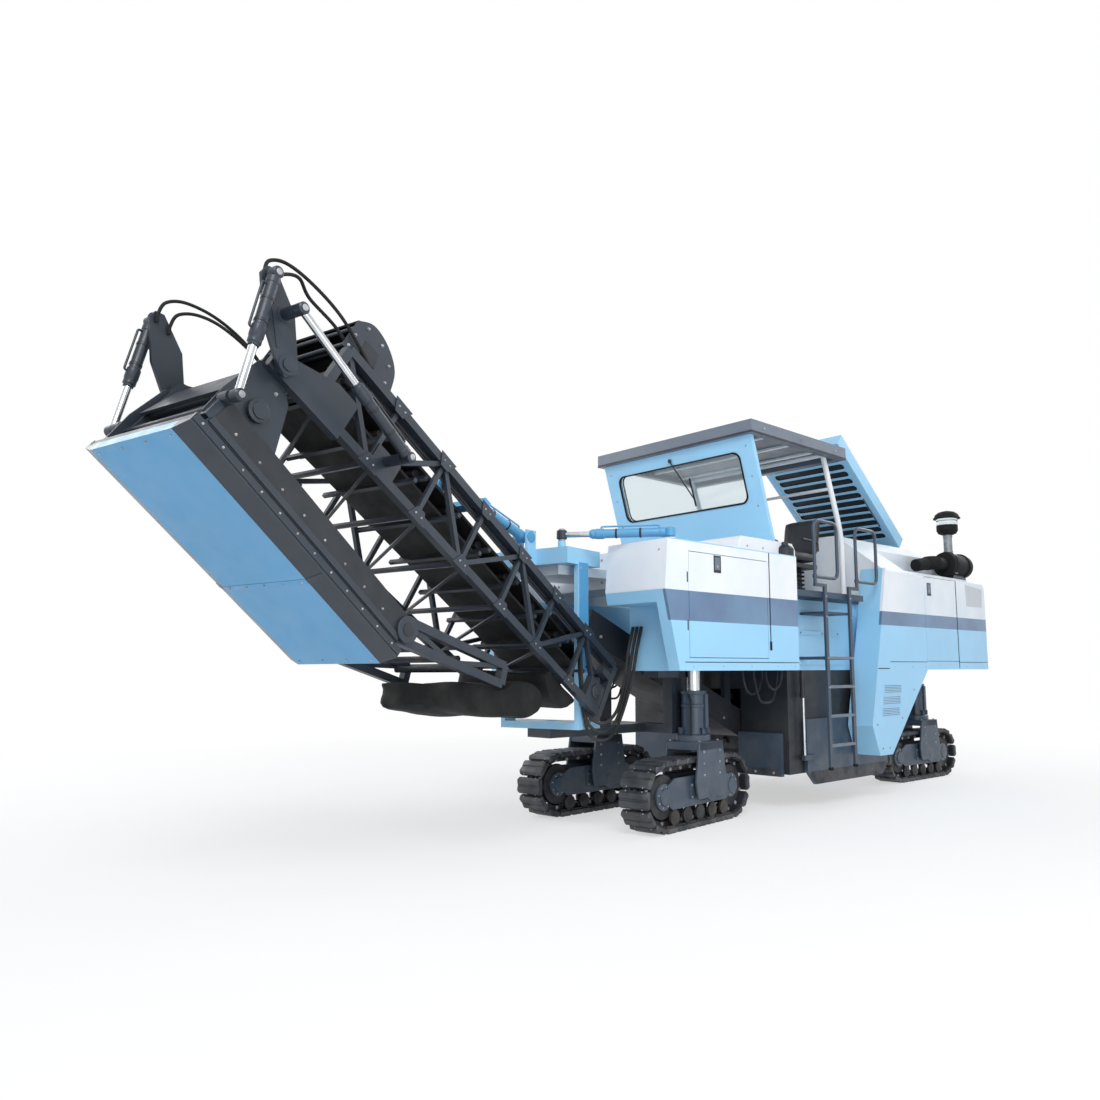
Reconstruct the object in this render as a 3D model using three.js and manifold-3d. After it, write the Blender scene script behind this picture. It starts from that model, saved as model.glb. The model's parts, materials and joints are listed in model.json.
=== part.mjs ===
// Cold planer (road milling machine) on four steered tracks, with its discharge conveyor folded
// under itself at the front. Millimetres, +Z up, the machine drives towards -Y, +X is its left.
// Inside this file the front axle's centre on the ground is the working origin; the last lines
// move the whole machine so that the middle of its footprint is at the origin.
import * as THREE from 'three';
import { mergeVertices } from 'three/addons/utils/BufferGeometryUtils.js';
import Module from 'manifold-3d';

const wasm = await Module();
wasm.setup();
const DEG = Math.PI / 180;

// ---------------------------------------------------------------- driving dimensions
const FIT_GAP = 0.3; // between pieces that seat on each other
const RUN_GAP = 3; // round a pin, post or shaft that turns
const SLIDE_GAP = 6; // beside a plate that slides
const PIN_SIDES = 24;
const ROUND_SIDES = 12;

// overall
const BODY_HALF_WIDTH = 1250;
const WHEELBASE = 4630;
const BODY_BOTTOM = 1370; // underside of the body, on raised legs
const FRONT_FACE = -900; // front of the two front modules
const FRONT_MODULE_LENGTH = 1850;
const FRONT_MODULE_TOP = 2450;
const REAR_BODY_BEFORE_AXLE = 1950;
const REAR_BODY_START = WHEELBASE - REAR_BODY_BEFORE_AXLE;
const REAR_BODY_LENGTH = 2540;
const REAR_BODY_TOP = 2490;

// tracks and legs
const TRACK = { length: 1700, height: 610, width: 300, shoes: 24, grouser: 18, band: 46 };
const FRONT_GAUGE_HALF = 650;
const REAR_GAUGE_HALF = 480;
const LEG_BEHIND_TRACK = 100; // leg axis behind the middle of its track
const LEG = { sleeve: 112, rod: 72, sleeveTop: 1190, flange: 735, depthInBody: 330 };
const FRONT_LEFT_STEER = 6.9; // as parked
const FRONT_RIGHT_STEER = 3.5;
const REAR_STEER = -2;

// front modules
const MODULE_INNER = 560;
const MODULE_NOSE_SET_BACK = 130; // of the lower edge of the front face
const NOSE_RECESS = { depth: 260, height: 560, cheek: 120 };
const LOCKER_DOOR = { front: -640, length: 1100, bottom: 1480, height: 880, thickness: 40 };

// drum housing
const HOUSING = { start: 1250, length: 1860, left: 900, right: -1190, bottom: 350, wall: 40 };
const DRUM = { radius: 420, tool: 55, endGap: 25, height: 800, shaft: 70, y: 2200 };
const SIDE_PLATE = { thickness: 40, bottom: 230, height: 650, front: 1500, length: 1600 };
const MOLDBOARD = { thickness: 40, bottom: 340, height: 620 };
const SHOE = { thickness: 50, bottom: 330, height: 420 };

// middle body, platform, ladders
const MID_HALF = 900;
const MID_START = 960;
const MID_END = REAR_BODY_START - 20;
const PLATFORM_HALF = 1190;
const PLATFORM_TOP = 2150;
const PLATFORM_THICKNESS = 60;
const LADDER = {
  front: 1490, width: 460, outer: 1235, tube: 17, rungs: 4, pitch: 286, lowest: 632, foot: 420, stay: 1490,
};
const RAIL = { tube: 18, top: 2860, low: 2290, front: 1320, rear: 2110, loopReach: 420 };
const FAIRING = { inner: 960, top: 2480 };

// canopy and operator station
const ROOF = { half: 1063, front: 543, length: 1715, top: 3776, fascia: 132, rim: 85, skin: 60 };
const WINDSHIELD = { half: 1010, topY: 601, topZ: 3621, bottomY: 850, bottomZ: 2827 };
const WINDOW = { half: 840, low: 3008, high: 3511 };
const WINDSHIELD_THICKNESS = 50;
const POST = { half: 920, size: 60, topY: 1980, bottomY: 2310, kneeZ: 2835 };
const CONSOLE = { half: 1010, depth: 330, height: 480, shelf: 600 };
const SEAT = { front: 1600, offset: 560, size: 480, base: 380, back: 480 };

// engine bay
const BAY = { half: 560, start: REAR_BODY_START + 120, end: REAR_BODY_START + 1650, floor: 1650 };
const CROWN = { half: 640, height: 410 }; // raised middle of the engine cover
const HOOD = { half: 590, length: 1800, thickness: 160, hingeY: BAY.end - 30, lift: 12, angle: 38.5 };
const ENGINE = { half: 380, start: BAY.start + 180, length: 1180, bottom: 1700, height: 900 };
const SERVICE_DOOR = { front: REAR_BODY_START + 890, length: 810, bottom: 1470, top: 2440, thickness: 40 };
const CLEANER = { x: 1040, y: REAR_BODY_START + 1880, radius: 165, length: 560, stack: 55, bowl: 130, top: 3385 };

// primary conveyor, between the front tracks
const PRIMARY = { half: 300, rearY: 1230, rearZ: 700, frontY: -950, frontZ: 1678, depth: 260 };

// slewing head
const SLEW_Y = -1050;
const SLEW_ANGLE = 12; // conveyor stands this far to the machine's left
const HEAD = { plateTop: 2280, plate: 80, half: 300, reach: 200, pin: 60 };
const LOWER_ARM = { bottom: 800, thickness: 80, half: 150, hangerInner: 420, hangerY: -60 };
const CONVEYOR_HALF = 500; // to the middle of the side chords
const YOKE = { post: CONVEYOR_HALF - 100, postThickness: 45, postFront: 200, postRear: 50, headTop: 2420 };
const LUFF_PIN = { s: 100, z: 1200, radius: 40 };

// discharge conveyor, base section: u along it from the luff pin, v square to it
const BASE_ANGLE = 33;
const CHORD = 60;
const BASE = { start: -150, end: 3450, bottom: -133, top: 350, bays: 7 };
const BELT = { half: CONVEYOR_HALF - 140, thickness: 22 };
const BASE_BELT = { start: -120, end: 3420, low: 130, high: 300 };
const FOLD_PIN = { u: 3730, v: -133, radius: 38 };

// discharge conveyor, tip section: u and v from the fold pin, as if unfolded
const FOLD_ANGLE = 173.6;
const TIP = { start: -80, knee: 1700, end: 2790, low: 450, high: 590, droop: 23, bays: 4 };
const TIP_ARM = { plane: CONVEYOR_HALF - 75, thickness: 30 };
const COVER = { start: -140, knee: 1780, height: 110, rise: 45 };
const TIP_BELT = { start: 20, end: 1640, low: 480, high: 580 };

// folding levers and cylinders
const LEVER = { radius: 505, angle: 40.4, plane: CONVEYOR_HALF + 70, thickness: 24, width: 120 };
const LEVER_PIN = { u: 286, v: 48 };
const TIP_EYE = { u: -88, v: 432 };
const BASE_EYE = { u: 2829, v: -30 };
const FOLD_CYLINDER = { barrel: 42, rod: 24, eye: 36, eyeWidth: 90 };
const TIP_CYLINDER = { ...FOLD_CYLINDER, plane: CONVEYOR_HALF + 132, barrelLength: 480, rodLength: 460 };
const LEVER_CYLINDER = {
  ...FOLD_CYLINDER,
  plane: TIP_CYLINDER.plane + FOLD_CYLINDER.eyeWidth + SLIDE_GAP, // outboard of the tip cylinder
  barrelLength: 574,
  rodLength: 565,
};
const LUFF_CYLINDER = { barrel: 50, rod: 28, eye: 48, eyeWidth: 106, barrelLength: 690, rodLength: 700 };
const LUFF_EYE = { s: 420, z: 2520 };
const MAST = { u: 1941, v: 684, width: 70, legInset: 80 };
const SLEW_CYLINDER = {
  barrel: 45, rod: 25, eye: 45, eyeWidth: 96, barrelLength: 688, rodLength: 670, z: 2530,
};
const BORE_END = 12; // wall between a cylinder's bore and its eye
const SLEW_EYE = { x: 1120, y: -720 };
const YOKE_EYE = { t: 320, s: 300 };

// ---------------------------------------------------------------- materials
function finish(colour, roughness, metalness) {
  return new THREE.MeshStandardMaterial({ color: colour, roughness, metalness });
}
const LIGHT_BLUE = finish(0x7db9e0, 0.42, 0.05);
const WHITE = finish(0xecedef, 0.42, 0.05);
const SLATE = finish(0x46556a, 0.5, 0.2);
const DARK = finish(0x20262c, 0.65, 0.2);
const SHOE_STEEL = finish(0x484d52, 0.6, 0.5);
const RUBBER = finish(0x1a1c1f, 0.85, 0.0);
const CHROME = finish(0xc4c9cd, 0.18, 1.0);
const GREY = finish(0x8d9398, 0.5, 0.1);

// ---------------------------------------------------------------- solids
function toSolid(geometry) {
  geometry.deleteAttribute('normal');
  geometry.deleteAttribute('uv');
  const merged = mergeVertices(geometry, 1e-3);
  const mesh = new wasm.Mesh({
    numProp: 3,
    vertProperties: new Float32Array(merged.attributes.position.array),
    triVerts: new Uint32Array(merged.index.array),
  });
  return new wasm.Manifold(mesh);
}

function toGeometry(solid) {
  const mesh = solid.getMesh();
  const geometry = new THREE.BufferGeometry();
  geometry.setAttribute('position', new THREE.BufferAttribute(mesh.vertProperties.slice(), 3));
  geometry.setIndex(new THREE.BufferAttribute(mesh.triVerts.slice(), 1));
  geometry.computeVertexNormals();
  return geometry;
}

function join(...solids) {
  return solids.flat().reduce((whole, next) => whole.add(next));
}

function cut(body, ...tools) {
  return tools.flat().reduce((whole, next) => whole.subtract(next), body);
}

function box(x0, x1, y0, y1, z0, z1) {
  const geometry = new THREE.BoxGeometry(x1 - x0, y1 - y0, z1 - z0);
  geometry.translate((x0 + x1) / 2, (y0 + y1) / 2, (z0 + z1) / 2);
  return toSolid(geometry);
}

function outline(points) {
  return new THREE.Shape(points.map(([a, b]) => new THREE.Vector2(a, b)));
}

// a YZ outline, extruded from x0 to x1
function profileX(points, x0, x1, holes = []) {
  const shape = outline(points);
  holes.forEach((hole) => shape.holes.push(new THREE.Path(outline(hole).getPoints())));
  const geometry = new THREE.ExtrudeGeometry(shape, { depth: x1 - x0, bevelEnabled: false });
  geometry.rotateX(Math.PI / 2);
  geometry.rotateZ(Math.PI / 2);
  geometry.translate(x0, 0, 0);
  return toSolid(geometry);
}

// an XY outline, extruded from z0 to z1
function profileZ(points, z0, z1) {
  const geometry = new THREE.ExtrudeGeometry(outline(points), { depth: z1 - z0, bevelEnabled: false });
  geometry.translate(0, 0, z0);
  return toSolid(geometry);
}

function align(geometry, from, to, up) {
  const axis = new THREE.Vector3().subVectors(to, from).normalize();
  const side = new THREE.Vector3().crossVectors(up, axis).normalize();
  const lift = new THREE.Vector3().crossVectors(axis, side);
  geometry.applyMatrix4(new THREE.Matrix4().makeBasis(side, lift, axis).setPosition(from));
  return geometry;
}

function vector(point) {
  return new THREE.Vector3(...point);
}

function pickUp(axis) {
  return Math.abs(axis.x) > 0.9 * axis.length() ? new THREE.Vector3(0, 0, 1) : new THREE.Vector3(1, 0, 0);
}

// a round bar between two points
function rod(from, to, radius, sides = 16) {
  const a = vector(from);
  const b = vector(to);
  const length = a.distanceTo(b);
  const geometry = new THREE.CylinderGeometry(radius, radius, length, sides);
  geometry.rotateX(Math.PI / 2);
  geometry.translate(0, 0, length / 2);
  return toSolid(align(geometry, a, b, pickUp(b.clone().sub(a))));
}

// a rectangular bar between two points, width along the side given by up x axis
function bar(from, to, width, height) {
  const a = vector(from);
  const b = vector(to);
  const length = a.distanceTo(b);
  const geometry = new THREE.BoxGeometry(width, height, length);
  geometry.translate(0, 0, length / 2);
  return toSolid(align(geometry, a, b, pickUp(b.clone().sub(a))));
}

// a bent round tube through points, with rounded corners
function bentTube(points, radius, bend, step, sides = 8) {
  const path = new THREE.CurvePath();
  const corners = points.map(vector);
  let start = corners[0];
  for (let i = 1; i < corners.length - 1; i += 1) {
    const before = corners[i].clone().lerp(corners[i - 1], bend / corners[i].distanceTo(corners[i - 1]));
    const after = corners[i].clone().lerp(corners[i + 1], bend / corners[i].distanceTo(corners[i + 1]));
    path.add(new THREE.LineCurve3(start, before));
    path.add(new THREE.QuadraticBezierCurve3(before, corners[i], after));
    start = after;
  }
  path.add(new THREE.LineCurve3(start, corners[corners.length - 1]));
  const ring = [];
  for (let k = 0; k < sides; k += 1) {
    const a = (2 * Math.PI * k) / sides;
    ring.push([radius * Math.cos(a), radius * Math.sin(a)]);
  }
  const steps = Math.ceil(path.getLength() / step);
  return toSolid(new THREE.ExtrudeGeometry(outline(ring), { steps, extrudePath: path, bevelEnabled: false }));
}

// a hole that lets a pin turn with all its facets clear
function pinHole(from, to, radius) {
  return rod(from, to, radius / Math.cos(Math.PI / PIN_SIDES) + FIT_GAP, PIN_SIDES);
}

function node(name, solid, material) {
  const mesh = new THREE.Mesh(toGeometry(solid), material);
  mesh.name = name;
  return mesh;
}

function mirrored(solid, side) {
  return side > 0 ? solid : solid.scale([-1, 1, 1]);
}

const SIDES = [
  { name: 'left', sign: 1 },
  { name: 'right', sign: -1 },
];

// ---------------------------------------------------------------- tracks and legs
function trackOutline(length, height, shoes, grouser) {
  const radius = height / 2 - grouser;
  const straight = length - height;
  const round = Math.PI * radius;
  const perimeter = 2 * straight + 2 * round;
  const at = (distance, offset) => {
    const d = ((distance % perimeter) + perimeter) % perimeter;
    const r = radius + offset;
    if (d < straight) return [d - straight / 2, radius + r + grouser];
    if (d < straight + round) {
      const a = (d - straight) / radius;
      return [straight / 2 + r * Math.sin(a), radius + grouser + r * Math.cos(a)];
    }
    if (d < 2 * straight + round) return [straight / 2 - (d - straight - round), radius - r + grouser];
    const a = (d - 2 * straight - round) / radius;
    return [-straight / 2 - r * Math.sin(a), radius + grouser - r * Math.cos(a)];
  };
  const pitch = perimeter / shoes;
  const outer = [];
  for (let k = 0; k < shoes; k += 1) {
    outer.push(at(pitch * (k + 0.1), grouser));
    outer.push(at(pitch * (k + 0.62), grouser));
    outer.push(at(pitch * (k + 0.7), 0));
    outer.push(at(pitch * (k + 1.02), 0));
  }
  return outer.reverse();
}

function stadium(length, height, lift, steps = 8) {
  const r = height / 2;
  const c = length / 2 - r;
  const points = [];
  for (let k = 0; k <= steps; k += 1) {
    const a = -Math.PI / 2 + (Math.PI * k) / steps;
    points.push([c + r * Math.cos(a), lift + r + r * Math.sin(a)]);
  }
  for (let k = 0; k <= steps; k += 1) {
    const a = Math.PI / 2 + (Math.PI * k) / steps;
    points.push([-c + r * Math.cos(a), lift + r + r * Math.sin(a)]);
  }
  return points;
}

// the loop of shoes, one ring
function trackLoop() {
  const inner = stadium(TRACK.length - 2 * TRACK.band, TRACK.height - 2 * TRACK.band, TRACK.band);
  const outer = trackOutline(TRACK.length, TRACK.height, TRACK.shoes, TRACK.grouser);
  return profileX(outer, -TRACK.width / 2, TRACK.width / 2, [inner]);
}

// side frame, wheels, rollers, flange and leg of one track, round the leg's axis
function trackCarrier(rodTop) {
  const seat = TRACK.band + FIT_GAP;
  const wheelRadius = TRACK.height / 2 - seat - FIT_GAP;
  const wheelY = TRACK.length / 2 - TRACK.height / 2;
  const axleZ = TRACK.height / 2;
  const back = LEG_BEHIND_TRACK;
  const wheelHalf = TRACK.width / 2 - 25;
  const beam = box(-70, 70, -wheelY, wheelY, axleZ - 110, axleZ + 120);
  const wheels = [-wheelY, wheelY].map((y) => rod([-wheelHalf, y, axleZ], [wheelHalf, y, axleZ], wheelRadius, 16));
  const rollers = [-1, 0, 1].map((k) => {
    const z = seat + 75;
    return rod([-wheelHalf, k * 250, z], [wheelHalf, k * 250, z], 75, 8);
  });
  const lift = box(-60, 60, back - 170, back + 170, axleZ + 100, TRACK.height - TRACK.band - 12);
  const cheeks = [-1, 1].map((side) => {
    const inner = side * (TRACK.width / 2 + 12);
    const outer = side * (TRACK.width / 2 + 42);
    const plate = [[-220, axleZ - 60], [220, axleZ - 60], [250, 400], [190, LEG.flange], [-190, LEG.flange], [-250, 400]];
    return profileX(plate.map(([y, z]) => [y + back, z]), Math.min(inner, outer), Math.max(inner, outer));
  });
  const axle = rod([-TRACK.width / 2 - 40, back, axleZ], [TRACK.width / 2 + 40, back, axleZ], 70, 8);
  const bridge = box(-TRACK.width / 2 - 42, TRACK.width / 2 + 42, back - 190, back + 190, LEG.flange - 70, LEG.flange);
  const sleeve = rod([0, back, LEG.flange - 1], [0, back, LEG.sleeveTop], LEG.sleeve, ROUND_SIDES);
  const collar = rod([0, back, LEG.flange - 1], [0, back, LEG.flange + 60], LEG.sleeve + 45, ROUND_SIDES);
  const inner = rod([0, back, LEG.sleeveTop - 1], [0, back, rodTop], LEG.rod, ROUND_SIDES);
  return join(beam, wheels, rollers, lift, cheeks, axle, bridge, collar, sleeve, inner);
}

function trackUnit(end, side, x, y, steer, rodTop) {
  const unit = new THREE.Group();
  const name = `${end}_${side.name}`;
  const carrier = trackCarrier(rodTop).translate([0, -LEG_BEHIND_TRACK, 0]);
  const loop = trackLoop().translate([0, -LEG_BEHIND_TRACK, 0]);
  unit.add(node(`${name}_leg`, carrier, SLATE));
  unit.add(node(`${name}_track`, loop, SHOE_STEEL));
  unit.position.set(side.sign * x, y + LEG_BEHIND_TRACK, 0);
  unit.rotation.z = steer * DEG;
  return unit;
}

const LEG_TOP = BODY_BOTTOM + LEG.depthInBody;
function legSocket(x, y) {
  return rod([x, y, BODY_BOTTOM - 50], [x, y, LEG_TOP + FIT_GAP], LEG.rod + RUN_GAP, ROUND_SIDES);
}

// ---------------------------------------------------------------- front modules
const FRONT_MODULE_END = FRONT_FACE + FRONT_MODULE_LENGTH;
const MODULE_PROFILE = [
  [FRONT_FACE + MODULE_NOSE_SET_BACK, BODY_BOTTOM],
  [FRONT_FACE - 40, 2040],
  [FRONT_FACE, FRONT_MODULE_TOP],
  [FRONT_MODULE_END, FRONT_MODULE_TOP],
  [FRONT_MODULE_END, BODY_BOTTOM],
].reverse();

function lockerSpace(grow) {
  const d = LOCKER_DOOR;
  return box(
    BODY_HALF_WIDTH - d.thickness - FIT_GAP, BODY_HALF_WIDTH + 100,
    d.front - grow, d.front + d.length + grow,
    d.bottom - grow, d.bottom + d.height + grow,
  );
}

function frontModule() {
  const block = profileX(MODULE_PROFILE, MODULE_INNER, BODY_HALF_WIDTH);
  const recess = box(
    MODULE_INNER - 50, BODY_HALF_WIDTH - NOSE_RECESS.cheek,
    FRONT_FACE - 200, FRONT_FACE + NOSE_RECESS.depth,
    BODY_BOTTOM - 50, BODY_BOTTOM + NOSE_RECESS.height,
  );
  const socket = legSocket(FRONT_GAUGE_HALF, LEG_BEHIND_TRACK);
  const ear = rod(
    [SLEW_EYE.x, SLEW_EYE.y, FRONT_MODULE_TOP - 20],
    [SLEW_EYE.x, SLEW_EYE.y, SLEW_CYLINDER.z - SLEW_CYLINDER.eyeWidth / 2 - FIT_GAP],
    SLEW_CYLINDER.eye, 16,
  );
  return cut(join(block, ear), recess, socket, lockerSpace(SLIDE_GAP));
}

function lockerDoor(side) {
  const d = LOCKER_DOOR;
  const panel = box(
    BODY_HALF_WIDTH - d.thickness, BODY_HALF_WIDTH,
    d.front, d.front + d.length, d.bottom, d.bottom + d.height,
  );
  return node(`${side.name}_locker_door`, mirrored(panel, side.sign), WHITE);
}

// both front modules, joined by the cross-box that holds the upper slew plate and its pin
function frontBody() {
  const crossBox = box(
    -MODULE_INNER - 20, MODULE_INNER + 20, FRONT_FACE + 320, FRONT_FACE + 900,
    2120, FRONT_MODULE_TOP,
  );
  const plate = box(
    -HEAD.half, HEAD.half, SLEW_Y - HEAD.reach, FRONT_FACE + 400,
    HEAD.plateTop - HEAD.plate, HEAD.plateTop,
  );
  const pin = rod([0, SLEW_Y, HEAD.plateTop - 10], [0, SLEW_Y, YOKE.headTop - 20], HEAD.pin, PIN_SIDES);
  const modules = SIDES.map((side) => mirrored(frontModule(), side.sign));
  return node('front_body', join(modules, crossBox, plate, pin), WHITE);
}

// the lower slew arm, hung under the front modules
function lowerArm() {
  const a = LOWER_ARM;
  const top = a.bottom + a.thickness;
  const plate = box(-a.half, a.half, SLEW_Y - HEAD.reach + 40, a.hangerY + 160, a.bottom, top);
  const cross = box(-530, 530, a.hangerY, a.hangerY + 160, a.bottom, top);
  const hangers = [-1, 1].map((s) => {
    const x0 = s > 0 ? a.hangerInner : -530;
    const x1 = s > 0 ? 530 : -a.hangerInner;
    return box(x0, x1, a.hangerY, a.hangerY + 160, a.bottom, BODY_BOTTOM - 60);
  });
  const feet = [-1, 1].map((s) => {
    const x0 = s > 0 ? a.hangerInner : -MODULE_INNER - 40;
    const x1 = s > 0 ? MODULE_INNER + 40 : -a.hangerInner;
    return box(x0, x1, a.hangerY - 260, a.hangerY + 20, BODY_BOTTOM - 61, BODY_BOTTOM - FIT_GAP);
  });
  const pin = rod([0, SLEW_Y, top - 10], [0, SLEW_Y, top + 50], HEAD.pin, PIN_SIDES);
  return node('lower_slew_arm', join(plate, cross, hangers, feet, pin), SLATE);
}

// primary conveyor: a trough that rises from the drum housing to the nose
function primaryConveyor() {
  const p = PRIMARY;
  const run = new THREE.Vector2(p.frontY - p.rearY, p.frontZ - p.rearZ).normalize();
  const up = new THREE.Vector2(run.y, -run.x).multiplyScalar(run.x < 0 ? 1 : -1);
  const deep = (point, amount) => [point[0] + up.x * amount, point[1] + up.y * amount];
  const rear = [p.rearY, p.rearZ];
  const front = [p.frontY, p.frontZ];
  const loop = [rear, front, deep(front, p.depth), deep(rear, p.depth)];
  const body = profileX(loop, -p.half, p.half);
  const channel = profileX(
    [deep(rear, p.depth * 0.55), deep(front, p.depth * 0.55), deep(front, p.depth * 2), deep(rear, p.depth * 2)]
      .map(([y, z], k) => [y + (k === 0 || k === 3 ? 400 : -400), z]),
    -p.half + 50, p.half - 50,
  );
  const hangers = [-1, 1].map((s) => {
    const x0 = s > 0 ? p.half - 50 : -p.half;
    return box(x0, x0 + 50, 1010, 1110, 900, BODY_BOTTOM - FIT_GAP);
  });
  return node('primary_conveyor', join(cut(body, channel), hangers), DARK);
}

// ---------------------------------------------------------------- milling gear
function mainFrame() {
  const h = HOUSING;
  const end = h.start + h.length;
  const shell = box(h.right, h.left, h.start, end, h.bottom, BODY_BOTTOM - FIT_GAP);
  const space = box(
    h.right + h.wall, h.left - h.wall, h.start + h.wall, end - h.wall,
    h.bottom - 100, BODY_BOTTOM - h.wall,
  );
  const mouth = box(-PRIMARY.half - 20, PRIMARY.half + 20, h.start - 50, h.start + h.wall + 20, 560, 1180);
  const shaftHole = pinHole(
    [h.right - 20, DRUM.y, DRUM.height], [h.left + 20, DRUM.y, DRUM.height], DRUM.shaft,
  );
  const beams = [-1, 1].map((s) => {
    const x0 = s > 0 ? 130 : -300;
    return box(x0, x0 + 170, end - 20, REAR_END - 250, 1180, BODY_BOTTOM - FIT_GAP);
  });
  const crosses = [720, 1620].map((back) => REAR_BODY_START + back).map((y) => box(-300, 300, y, y + 160, 1180, BODY_BOTTOM - FIT_GAP));
  return node('main_frame', join(cut(shell, space, mouth, shaftHole), beams, crosses), SLATE);
}

function millingDrum() {
  const x0 = HOUSING.right + HOUSING.wall + DRUM.endGap;
  const x1 = HOUSING.left - HOUSING.wall - DRUM.endGap;
  const core = rod([x0, 0, 0], [x1, 0, 0], DRUM.radius, 24);
  const shaft = rod([HOUSING.right + 2, 0, 0], [HOUSING.left - 2, 0, 0], DRUM.shaft, PIN_SIDES);
  const holders = [];
  const rows = 12;
  for (let k = 0; k < rows; k += 1) {
    const x = x0 + 70 + (k * (x1 - x0 - 140)) / (rows - 1);
    for (let j = 0; j < 2; j += 1) {
      const a = (k * 137 + j * 180) * DEG;
      const reach = DRUM.radius + DRUM.tool;
      const inside = DRUM.radius - 30;
      const foot = [x, inside * Math.cos(a), inside * Math.sin(a)];
      const tip = [x, reach * Math.cos(a), reach * Math.sin(a)];
      holders.push(bar(foot, tip, 50, 60));
    }
  }
  const mesh = node('milling_drum', join(core, shaft, holders), SHOE_STEEL);
  mesh.position.set(0, DRUM.y, DRUM.height);
  return mesh;
}

function sidePlate(side) {
  const p = SIDE_PLATE;
  const wall = side.sign > 0 ? HOUSING.left : -HOUSING.right;
  const x0 = wall + SLIDE_GAP;
  const end = p.front + p.length;
  const points = [
    [p.front + 150, p.bottom], [end - 120, p.bottom], [end, p.bottom + 120],
    [end, p.bottom + p.height], [p.front, p.bottom + p.height], [p.front, p.bottom + 140],
  ];
  const plate = profileX(points, x0, x0 + p.thickness);
  const runners = [p.front + 260, end - 200].map((y) => box(
    wall + FIT_GAP, x0 + 5, y, y + 60, p.bottom + 150, p.bottom + p.height - 20,
  ));
  return node(`${side.name}_side_plate`, mirrored(join(plate, runners), side.sign), SLATE);
}

function moldboard() {
  const wall = HOUSING.start + HOUSING.length;
  const y0 = wall + SLIDE_GAP;
  const m = MOLDBOARD;
  const top = m.bottom + m.height;
  const plate = box(HOUSING.right + 30, HOUSING.left - 30, y0, y0 + m.thickness, m.bottom, top);
  const ribs = [-800, -150, 500].map((x) => box(x - 20, x + 20, y0 + 30, y0 + m.thickness + 60, m.bottom + 60, top - 60));
  const runners = [-1000, 700].map((x) => box(x - 30, x + 30, wall + FIT_GAP, y0 + 5, m.bottom + 40, top - 40));
  return node('rear_moldboard', join(plate, ribs, runners), SLATE);
}

function holdDownShoe() {
  const y1 = HOUSING.start - SLIDE_GAP;
  const s = SHOE;
  const top = s.bottom + s.height;
  const plate = box(HOUSING.right + 60, HOUSING.left - 60, y1 - s.thickness, y1, s.bottom, top);
  const mouth = box(-PRIMARY.half - 20, PRIMARY.half + 20, y1 - 100, y1 + 20, s.bottom + 190, top + 10);
  const runners = [-900, 600].map((x) => box(x - 30, x + 30, y1 - 5, HOUSING.start - FIT_GAP, s.bottom + 40, top - 20));
  return node('front_hold_down', join(cut(plate, mouth), runners), SLATE);
}

// ---------------------------------------------------------------- middle body and platform
function platform() {
  const deck = box(
    -PLATFORM_HALF, PLATFORM_HALF, MID_START, MID_END - 380,
    PLATFORM_TOP - PLATFORM_THICKNESS, PLATFORM_TOP,
  );
  const rear = box(-FAIRING.inner + 10, FAIRING.inner - 10, MID_END - 400, MID_END, PLATFORM_TOP - PLATFORM_THICKNESS, PLATFORM_TOP);
  return node('operator_platform', join(deck, rear), SLATE);
}

// wedge in front of the rear body; on the left it runs down beside the drum housing,
// on the right, where the drum is flush with the machine's side, it stops at the body's underside
function fairing(side) {
  const joint = REAR_BODY_START - FIT_GAP;
  const ahead = (distance) => REAR_BODY_START - distance;
  const high = [
    [ahead(10), FAIRING.top], [ahead(155), 1830], [ahead(270), BODY_BOTTOM],
    [joint, BODY_BOTTOM], [joint, FAIRING.top],
  ];
  const low = [
    [ahead(266), BODY_BOTTOM + 20], [ahead(418), 790], [ahead(285), 480], [ahead(20), 478],
    [ahead(-880), BODY_BOTTOM - FIT_GAP], [joint, BODY_BOTTOM - FIT_GAP], [joint, BODY_BOTTOM + 20],
  ];
  const upper = profileX(high, FAIRING.inner, BODY_HALF_WIDTH);
  if (side.sign < 0) return mirrored(upper, -1);
  return join(upper, profileX(low, FAIRING.inner, BODY_HALF_WIDTH));
}

function middleBody() {
  const top = PLATFORM_TOP - PLATFORM_THICKNESS - FIT_GAP;
  const block = box(-MID_HALF, MID_HALF, MID_START, MID_END, BODY_BOTTOM, top);
  const web = box(-FAIRING.inner - 20, FAIRING.inner + 20, MID_END - 60, MID_END, BODY_BOTTOM, top);
  return node('middle_body', join(block, web, SIDES.map(fairing)), LIGHT_BLUE);
}

function handLoops(x, base) {
  const r = RAIL;
  const loop = (y) => bentTube(
    [[x, y, base], [x, y, r.top], [x, y + r.loopReach, r.top], [x, y + r.loopReach, r.low], [x, y, r.low]],
    r.tube, 90, 130, 6,
  );
  return [loop(r.front), loop(r.rear)];
}

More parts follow.
